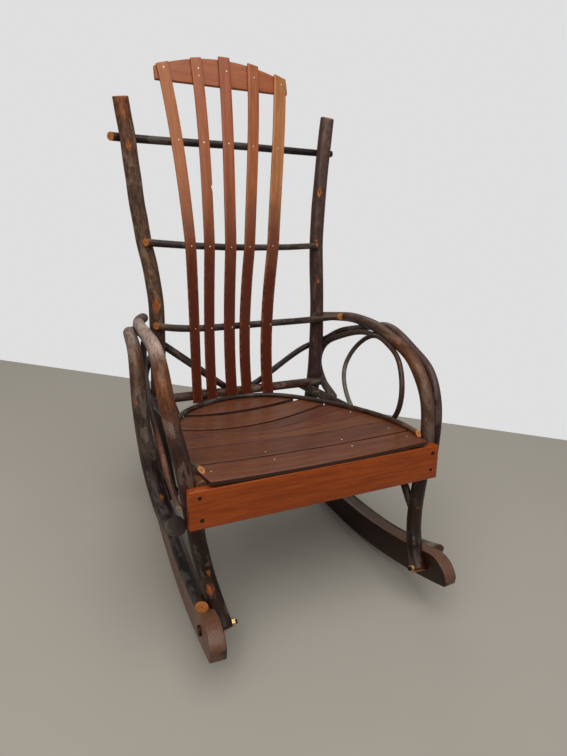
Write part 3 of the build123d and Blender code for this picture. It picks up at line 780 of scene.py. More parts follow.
        mesh.from_pydata(np.concatenate(verts).tolist(), [], faces)
        mesh.polygons.foreach_set("use_smooth", [True] * len(faces))
        mesh.polygons.foreach_set("material_index", [0] * bark + [1] * (len(faces) - bark))
        write(mesh, "tone", "FLOAT_COLOR", np.concatenate([np.concatenate(tones), np.ones((total, 1))], 1))
        write(mesh, "peel", "FLOAT", np.concatenate(peels))
        write(mesh, "grain", "FLOAT_VECTOR", np.concatenate(grains))
        return mesh


def write(mesh: bpy.types.Mesh, name: str, kind: str, values: np.ndarray) -> None:
    """Store an attribute on a mesh's vertices.

    Args:
        mesh, name, kind: where it goes, its name and its type.
        values: one row for each vertex.
    """
    layer = mesh.attributes.new(name, kind, "POINT")
    key = {"FLOAT": "value", "FLOAT_VECTOR": "vector", "FLOAT_COLOR": "color"}[kind]
    layer.data.foreach_set(key, np.ascontiguousarray(values, dtype=np.float32).ravel())


def show(
    mesh: bpy.types.Mesh, materials: list[bpy.types.Material], slot: str, nodes: tuple[str, ...] = ()
) -> None:
    """Put a finished mesh on the chair's body in place of its CAD nodes.

    Args:
        mesh: the mesh, in the frame's own coordinates.
        materials: its materials, in slot order.
        slot: the record's material slot, only written to the log.
        nodes: the CAD nodes that it stands for.
    """
    for material in materials:
        mesh.materials.append(material)
    mesh.validate()
    piece = stand(mesh.name, mesh)
    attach(piece, "root")
    if nodes:
        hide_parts(*nodes)
    LOG.info("%s: %d faces, %s", mesh.name, len(mesh.polygons), slot)


# ---------------------------------------------------------------- boards
SEED_STEP = 0.37  # how far apart two boards' grain lies
WELD = 0.00002
EASE_LIMIT = 0.3  # the most that a rounded corner takes of a board's width
APRON_STATIONS = 60
SLAT_STATIONS = 90
BACK_STATIONS = 150
CREST_STATIONS = 80
ROCKER_STATIONS = 240
HEAD_TILT = 25  # how far below its top a back slat's slanted end starts
FINE_REACH, FINE_STEPS = 300, 1201  # the lines along which the seat is sawn
CHIP_SLAT = 1
CHIP_ZONE = (822, 842, 16)  # from, to and how many stations
CHIP_BITES = ((3.4, 832, 3.0), (1.2, 826, 3.5))  # depth, height and half width
TIP_STATIONS = (0.3, 0.8, 1.6, 2.6)


@dataclass
class Board:
    """A sawn board with eased edges, lofted between two edge lines."""

    name: str
    low_edge: np.ndarray
    high_edge: np.ndarray
    out: np.ndarray
    thickness: float
    ease: float
    seed: int
    cells: int = 6

    def mesh(self) -> bpy.types.Mesh:
        """Build the board's skin from one section at each station.

        Returns:
            The mesh, with grain coordinates along the board and a mask of its edges.
        """
        low, high = self.low_edge, self.high_edge
        width = np.linalg.norm(high - low, axis=1)
        steps = np.linalg.norm(np.diff((low + high) / 2, axis=0), axis=1)
        length = np.concatenate([[0], np.cumsum(steps)])
        ease, end = self.ease, length[-1]
        rounding = ((ease, 0.0), (ease * 0.3, ease * 0.3), (0.0, ease))
        stations = [
            *rounding,
            *((0.0, s) for s in length if ease * 1.5 < s < end - ease * 1.5),
            *((inset, end - s) for inset, s in reversed(rounding)),
        ]
        verts, grains, masks = [], [], []
        for inset, s in stations:
            here_low, here_high, out = (
                np.array([np.interp(s, length, table[:, k]) for k in range(3)])
                for table in (low, high, self.out)
            )
            span = max(np.interp(s, length, width), 1e-5)
            section, mask = self._section(span, inset)
            across = (here_high - here_low) / span
            for (a, b), kind in zip(section, mask):
                verts.append(here_low + across * a + out * b)
                grains.append((s, a + self.seed * SEED_STEP, b))
                masks.append(kind)
        around = len(section)
        rows = len(stations)
        index = np.arange(rows * around).reshape(rows, around)
        a, b = index[:-1], index[1:]
        faces = np.stack([a, b, np.roll(b, -1, 1), np.roll(a, -1, 1)], -1).reshape(-1, 4).tolist()
        faces += [index[0].tolist(), index[-1][::-1].tolist()]
        mesh = bpy.data.meshes.new(self.name)
        mesh.from_pydata([tuple(v) for v in verts], [], faces)
        write(mesh, "grain", "FLOAT_VECTOR", np.array(grains))
        for column, name in enumerate(("edge", "rim", "back")):
            write(mesh, name, "FLOAT", np.array(masks)[:, column])
        mesh.polygons.foreach_set("use_smooth", [True] * len(faces))
        self._tidy(mesh)
        return mesh

    def _section(self, span: float, inset: float) -> tuple[list[tuple[float, float]], list[Point]]:
        """A rounded rectangle from the low edge to the high one and from the face back.

        Args:
            span: the board's width here.
            inset: how far the section is drawn in at a rounded end.
        Returns:
            Its points, and for each whether it lies on a rounded corner that wears pale, on a sawn side and
            on the back.
        """
        ease = min(self.ease, span * EASE_LIMIT)
        deep = self.thickness
        points = [(ease + (span - 2 * ease) * step / self.cells, 0.0) for step in range(self.cells + 1)]
        mask = [(1.0 if step in (0, self.cells) else 0.0, 0.0, 0.0) for step in range(self.cells + 1)]
        corners = (
            (span - ease, -ease, 0, (1, 2, 3)),
            (span - ease, -deep + ease, 1, (0, 1, 2, 3)),
            (ease, -deep + ease, 2, (0, 1, 2, 3)),
            (ease, -ease, 3, (0, 1, 2)),
        )
        for a, b, quarter, parts in corners:
            for part in parts:
                angle = math.pi / 2 - (quarter * 3 + part) * math.pi / 6
                points.append((a + ease * math.cos(angle), b + ease * math.sin(angle)))
                mask.append((1.0, abs(math.cos(angle)), max(-math.sin(angle), 0.0)))
        if inset:
            middle = -deep / 2
            squeeze = 1 - 2 * inset / deep
            draw = min(inset, span * EASE_LIMIT)
            shrink = (span - 2 * draw) / span
            points = [(draw + a * shrink, middle + (b - middle) * squeeze) for a, b in points]
            mask = [(1.0, 1.0, back) for _, _, back in mask]
        return points, mask

    @staticmethod
    def _tidy(mesh: bpy.types.Mesh) -> None:
        """Merge doubled points and point the faces outwards."""
        work = bmesh.new()
        work.from_mesh(mesh)
        bmesh.ops.remove_doubles(work, verts=work.verts, dist=WELD)
        bmesh.ops.recalc_face_normals(work, faces=work.faces)
        work.to_mesh(mesh)
        work.free()


@dataclass
class Seat:
    """The slatted trough seat and the board across its front."""

    height: float = 358.0
    slat: float = 8.0
    slope: float = 0.12
    trough: float = 5211.3
    front: float = 2.0
    joints: tuple[Pairs, ...] = (
        ((-300, 79), (0, 76), (300, 69)),
        ((-300, 168), (0, 152), (300, 138)),
        ((-300, 196), (0, 184), (300, 214)),
        ((-300, 226), (0, 212), (300, 290)),
        ((-300, 318), (-90, 247), (0, 258), (300, 372)),
        ((-300, 420), (-70, 347), (20, 358), (300, 420)),
    )
    gaps: tuple[float, ...] = (3.5, 1.4, 1.4, 1.4, 7.0, 16.0)
    outline: Pairs = (
        (-240, 2), (-240, 40), (-254, 95), (-243, 220), (-201, 350), (-112, 424), (-18, 446),
        (70, 426), (140, 360), (206, 252), (246, 140), (248, 30), (248, 2),
    )
    apron_length: float = 560.0
    apron_height: float = 76.0
    apron_thickness: float = 20.0
    apron_lean: float = 8.2

    def top(self, x: np.ndarray, y: np.ndarray) -> np.ndarray:
        """Height of the seat's top."""
        return self.height + self.slat - self.slope * y + x**2 / (2 * self.trough)

    def _edge(self, joint: int, shift: float, x: np.ndarray) -> np.ndarray:
        """Y of one saw line at each x.

        Args:
            joint: which saw line, or -1 for the front of the seat.
            shift: how far to the side of the line.
            x: where.
        Returns:
            The line's y.
        """
        if joint < 0:
            return np.full_like(x, self.front)
        points = self.joints[joint]
        if len(points) > 3:
            line = Centreline(tuple((a, b, 0.0) for a, b in points)).line
            return np.interp(x, line[:, 0], line[:, 1]) + shift
        return np.interp(x, [a for a, _ in points], [b for _, b in points]) + shift

    def _border(self) -> np.ndarray:
        """The seat's outline as a fine line, from one front corner to the other."""
        round_part = Centreline(tuple((a, b, 0.0) for a, b in self.outline[1:-1])).line[:, :2]
        return np.concatenate([[self.outline[0]], round_part, [self.outline[-1]]])

    def slat_board(self, number: int) -> Board:
        """One seat slat, cut to the outline.

        Args:
            number: counted from the front.
        Returns:
            The board.
        """
        border = self._border()
        fine = np.linspace(-FINE_REACH, FINE_REACH, FINE_STEPS)
        last = number == len(self.joints)
        front = self._edge(number - 1, self.gaps[number - 1] / 2 if number else 0, fine)
        if last:
            rear = np.interp(fine, border[1:-1, 0], border[1:-1, 1])
        else:
            rear = self._edge(number, -self.gaps[number] / 2, fine)
        half = int(np.argmax(border[:, 1]))
        edges = []
        for line in (front, rear):
            limit = front if last else line
            left = np.interp(limit, border[:half, 1], border[:half, 0])
            right = np.interp(limit, border[half:][::-1, 1], border[half:][::-1, 0])
            inside = fine[(fine > left) & (fine < right)]
            x = np.linspace(inside[0], inside[-1], SLAT_STATIONS)
            edges.append(np.column_stack([x, np.interp(x, fine, line)]))
        low, high = edges
        if last:
            high[:, 1] = np.maximum(high[:, 1], low[:, 1] + 0.3)
        low, high = (place(np.column_stack([p, self.top(p[:, 0], p[:, 1])])) for p in (low, high))
        out = np.tile((0.0, self.slope, 1.0), (SLAT_STATIONS, 1))
        name = f"seat_slat_{number + 1}"
        return Board(name, low, high, out, self.slat * MM, ease=0.0013, cells=10, seed=number + 1)

    def apron_board(self) -> Board:
        """The front board, leaning a little.

        Returns:
            The board.
        """
        lean = math.radians(self.apron_lean)
        half = self.apron_length / 2
        drop = self.apron_height / math.cos(lean)
        x = np.linspace(-half, half, APRON_STATIONS)
        top = np.column_stack([x, np.zeros_like(x), np.full_like(x, self.height)])
        low = top - np.array((0.0, math.sin(lean), math.cos(lean))) * drop
        out = np.tile((0.0, -math.cos(lean), math.sin(lean)), (APRON_STATIONS, 1))
        return Board("apron", place(low), place(top), out, self.apron_thickness * MM, ease=0.0022, seed=3)

    def build(self, finishes: Materials) -> None:
        """Make and dress the seat.

        Args:
            finishes: the materials by name.
        """
        for number in range(len(self.joints) + 1):
            board = self.slat_board(number)
            varnish = finishes[f"seat_varnish_{number % len(SEAT_COLOURS)}"]
            show(board.mesh(), [varnish], "seat_wood", (board.name,))
        show(self.apron_board().mesh(), [finishes["apron_varnish"]], "apron_wood", ("apron",))


@dataclass
class Back:
    """The fanned slats and the crest behind their heads."""

    line: Pairs = ((476.34, 277), (556.04, 693), (735.49, 1154))
    softness: float = 7.0
    heights: tuple[float, ...] = (297, 693, 931)
    tops: tuple[float, ...] = (1108, 1129, 1139, 1131, 1111)
    slopes: tuple[float, ...] = (4, 2, 0, -2.5, -5)
    feet: tuple[float, ...] = (-119, -78, -22, 23, 84)
    waists: tuple[float, ...] = (-118, -69, -12, 40, 107)
    shoulders: tuple[float, ...] = (-127, -58, 6, 74, 146)
    heads: tuple[float, ...] = (-146, -60, 15, 94, 170)
    widths_foot: tuple[float, ...] = (25, 27, 30, 29, 32)
    widths_head: tuple[float, ...] = (30, 28, 30, 30, 34)
    thickness: float = 6.0
    crest_bottom: float = 1071.0
    crest_end: float = 1101.0
    crest_middle: float = 1134.0
    crest_thickness: float = 10.0
    crest_face: float = 1100.0
    crest_gap: float = 0.1
    crest_past: tuple[float, float] = (5.0, 3.0)

    def depth(self, z: np.ndarray) -> np.ndarray:
        """Y of the slats' middle at a height, eased over the middle bar."""
        z = np.asarray(z, float)
        (y0, z0), (y1, z1), (y2, z2) = self.line
        low = y0 + (z - z0) * (y1 - y0) / (z1 - z0)
        high = y1 + (z - z1) * (y2 - y1) / (z2 - z1)
        return (low + high + np.sqrt((high - low) ** 2 + self.softness)) / 2

    def outward(self, z: np.ndarray) -> np.ndarray:
        """The slats' face direction at each height."""
        run = (self.depth(z + 1) - self.depth(z - 1)) / 2
        out = np.column_stack([np.zeros_like(z), -np.ones_like(z), run])
        return out / np.linalg.norm(out, axis=1)[:, None]

    def slat_board(self, number: int) -> Board:
        """One back slat.

        Args:
            number: counted from the left.
        Returns:
            The board.
        """
        top = self.tops[number]
        z = np.linspace(self.heights[0], top, BACK_STATIONS)
        z = np.unique(np.concatenate([z, np.linspace(*CHIP_ZONE)]))
        marks = (*self.heights, top)
        xs = (self.feet[number], self.waists[number], self.shoulders[number], self.heads[number])
        route = Centreline(tuple((x, 0.0, h) for x, h in zip(xs, marks))).line
        middle = np.interp(z, route[:, 2], route[:, 0])
        foot, head = self.widths_foot[number] / 2, self.widths_head[number] / 2
        half = np.interp(z, marks, (foot, (foot + head) / 2, head, head))
        tilt = self.slopes[number] * np.clip((z - top + HEAD_TILT) / HEAD_TILT, 0, 1)
        sides = []
        for sign in (-1, 1):
            x = middle + sign * half
            if number == CHIP_SLAT and sign > 0:
                for bite, height, reach in CHIP_BITES:
                    x = x - bite * np.exp(-(((z - height) / reach) ** 2))
            sides.append(np.column_stack([x, self.depth(z), z + sign * tilt]))
        out = self.outward(z)
        face = out * self.thickness / 2
        low, high = (place(side + face) for side in sides)
        name = f"back_slat_{number + 1}"
        return Board(name, low, high, out, self.thickness * MM, ease=0.0011, seed=number + 11)

    def crest_board(self) -> Board:
        """The arched board behind the heads.

        Returns:
            The board.
        """
        left = self.heads[0] - self.widths_head[0] / 2 - self.crest_past[0]
        right = self.heads[-1] + self.widths_head[-1] / 2 + self.crest_past[1]
        x = np.linspace(left, right, CREST_STATIONS)
        span = (x - (left + right) / 2) / (right - left) * 2
        top = self.crest_middle - (self.crest_middle - self.crest_end) * span**2
        out = self.outward(np.full_like(x, self.crest_face))
        bottom = np.full_like(x, self.crest_bottom)
        back = -out * (self.thickness / 2 + self.crest_gap)
        low, high = (place(np.column_stack([x, self.depth(z), z]) + back) for z in (bottom, top))
        return Board("crest_rail", low, high, out, self.crest_thickness * MM, ease=0.0018, seed=31)

    def build(self, finishes: Materials) -> None:
        """Make and dress the back.

        Args:
            finishes: the materials by name.
        """
        for number in range(len(self.feet)):
            board = self.slat_board(number)
            show(board.mesh(), [finishes[f"back_varnish_{number}"]], "back_wood", (board.name,))
        show(self.crest_board().mesh(), [finishes["crest_varnish"]], "crest_wood", ("crest_rail",))


@dataclass
class Rockers:
    """The two sawn rockers."""

    radius: float = 1138.0
    height: float = 64.0
    thickness: float = 32.0
    front: float = -130.0
    rear: float = 745.0
    touch: float = 302.0
    track: float = 474.0
    toe_in: float = 3.3
    nose: float = 64.0
    drops: tuple[float, float] = (44.0, 56.0)

    def _arc(self, radius: float, y: np.ndarray) -> np.ndarray:
        """Height of an arc about the rockers' centre."""
        return self.radius - np.sqrt(radius**2 - y**2)

    def _top(self, y: np.ndarray, drop: float) -> np.ndarray:
        """Height of the top, rounded down at each tip.

        Args:
            y: distance from the point of touch.
            drop: how far the rounding falls.
        Returns:
            The height.
        """
        inner = self.radius - self.height
        top = self._arc(inner, y)
        for tip, sign in ((self.rear - self.touch, 1), (self.front - self.touch, -1)):
            start = tip - sign * self.nose
            slope = math.atan2(abs(start), math.sqrt(inner**2 - start**2))
            first = np.array((start * sign, float(self._arc(inner, start))))
            last = np.array((tip * sign, float(self._arc(inner, tip)) - drop))
            normal = np.array((math.sin(slope), -math.cos(slope)))
            chord = last - first
            radius = chord.dot(chord) / (2 * chord.dot(normal))
            centre = first + normal * radius
            reach = np.clip(radius**2 - (y * sign - centre[0]) ** 2, 0, None)
            top = np.where(y * sign > start * sign, centre[1] + np.sqrt(reach), top)
        return top

    def build(self, finishes: Materials) -> None:
        """Make and dress both rockers.

        Args:
            finishes: the materials by name.
        """
        y = np.linspace(self.front - self.touch, self.rear - self.touch, ROCKER_STATIONS)
        near = np.array(TIP_STATIONS)
        y = np.unique(np.concatenate([y, y[0] + near, y[-1] - near]))
        for side, sign, drop in (("left", -1, self.drops[0]), ("right", 1, self.drops[1])):
            spin = np.array(Matrix.Rotation(math.radians(self.toe_in * sign), 3, "Z"))
            base = np.array((sign * self.track / 2, self.touch, 0))
            outer = np.full_like(y, sign * self.thickness / 2)
            low, high = (
                place(np.column_stack([outer, y, z]) @ spin.T + base)
                for z in (self._arc(self.radius, y), self._top(y, drop))
            )
            out = np.tile(spin @ np.array((sign, 0.0, 0.0)), (len(y), 1))
            name = f"rocker_{side}"
            board = Board(name, low, high, out, self.thickness * MM, ease=0.0024, cells=8, seed=5 + sign)
            show(board.mesh(), [finishes["rocker_varnish"]], "rocker_wood", (name,))


# ---------------------------------------------------------------- nails
@dataclass
class Nails:
    """Small round heads set on the boards by one node tree."""

    head: float
    proud: float
    seed: int

    def tree(self) -> bpy.types.NodeTree:
        """Build the tree that sets one head at every point of its input.

        Returns:
            The node tree.
        """
        tree = bpy.data.node_groups.new("nail_heads", "GeometryNodeTree")
        face = tree.interface
        face.new_socket("Geometry", in_out="INPUT", socket_type="NodeSocketGeometry")
        for name in ("Head Radius", "Proud"):
            face.new_socket(name, in_out="INPUT", socket_type="NodeSocketFloat")
        face.new_socket("Metal", in_out="INPUT", socket_type="NodeSocketMaterial")
        face.new_socket("Geometry", in_out="OUTPUT", socket_type="NodeSocketGeometry")
        add = partial(add_node, tree)
        source = add("NodeGroupInput", {}).outputs
        ball = add("GeometryNodeMeshUVSphere", {"Segments": 14, "Rings": 8, "Radius": source["Head Radius"]})
        ratio = add("ShaderNodeMath", {0: source["Proud"], 1: source["Head Radius"]}, operation="DIVIDE")
        squash = add("ShaderNodeCombineXYZ", {0: 1, 1: 1, 2: ratio.outputs[0]})
        flat = add("GeometryNodeTransform", {"Geometry": ball.outputs[0], "Scale": squash.outputs[0]})
        facing = add("GeometryNodeInputNamedAttribute", {"Name": "facing"}, data_type="FLOAT_VECTOR")
        align = add("FunctionNodeAlignEulerToVector", {"Vector": facing.outputs["Attribute"]}, axis="Z")
        chance = add("FunctionNodeRandomValue", {2: 0.85, 3: 1.2, "Seed": self.seed})
        heads = {
            "Points": source["Geometry"], "Instance": flat.outputs[0],
            "Rotation": align.outputs[0], "Scale": chance.outputs[1],
        }
        points = add("GeometryNodeInstanceOnPoints", heads)
        real = add("GeometryNodeRealizeInstances", {0: points.outputs[0]})
        metal = add("GeometryNodeSetMaterial", {"Geometry": real.outputs[0], "Material": source["Metal"]})
        add("NodeGroupOutput", {0: metal.outputs[0]})
        return tree

    def build(self, name: str, places: list[tuple[Point, Point]], material: bpy.types.Material) -> None:
        """Set the heads and bake them to one mesh.

        Args:
            name: the piece's name.
            places: pairs of a point and its outward direction.
            material: the heads' metal.
        """
        mesh = bpy.data.meshes.new(name + "_points")
        mesh.from_pydata([p for p, _ in places], [], [])
        write(mesh, "facing", "FLOAT_VECTOR", np.array([d for _, d in places]))
        holder = stand(name + "_points", mesh)
        tree = self.tree()
        modifier = holder.modifiers.new("heads", "NODES")
        modifier.node_group = tree
        values = {"Head Radius": self.head, "Proud": self.proud, "Metal": material}
        for item in tree.interface.items_tree:
            if item.in_out == "INPUT" and item.name in values:
                modifier[item.identifier] = values[item.name]
        holder.update_tag()
        graph = bpy.context.evaluated_depsgraph_get()
        baked = bpy.data.meshes.new_from_object(holder.evaluated_get(graph))
        baked.name = name
        holder.modifiers.remove(modifier)
        bpy.data.objects.remove(holder)
        baked.polygons.foreach_set("use_smooth", [True] * len(baked.polygons))
        baked.materials.clear()
        show(baked, [material], "bolt_metal")


# ---------------------------------------------------------------- the chair's own sticks and nails
FRONT = (-0.42, -0.85, 0.3)
LEFT_FACE = (-0.18, -0.98, 0.1)
RIGHT_FACE = (-0.48, -0.88, 0.1)
DARK_BARK = (58, 40, 36)
RED_BROWN = (98, 52, 34)
BLACK_BARK = (40, 27, 26)

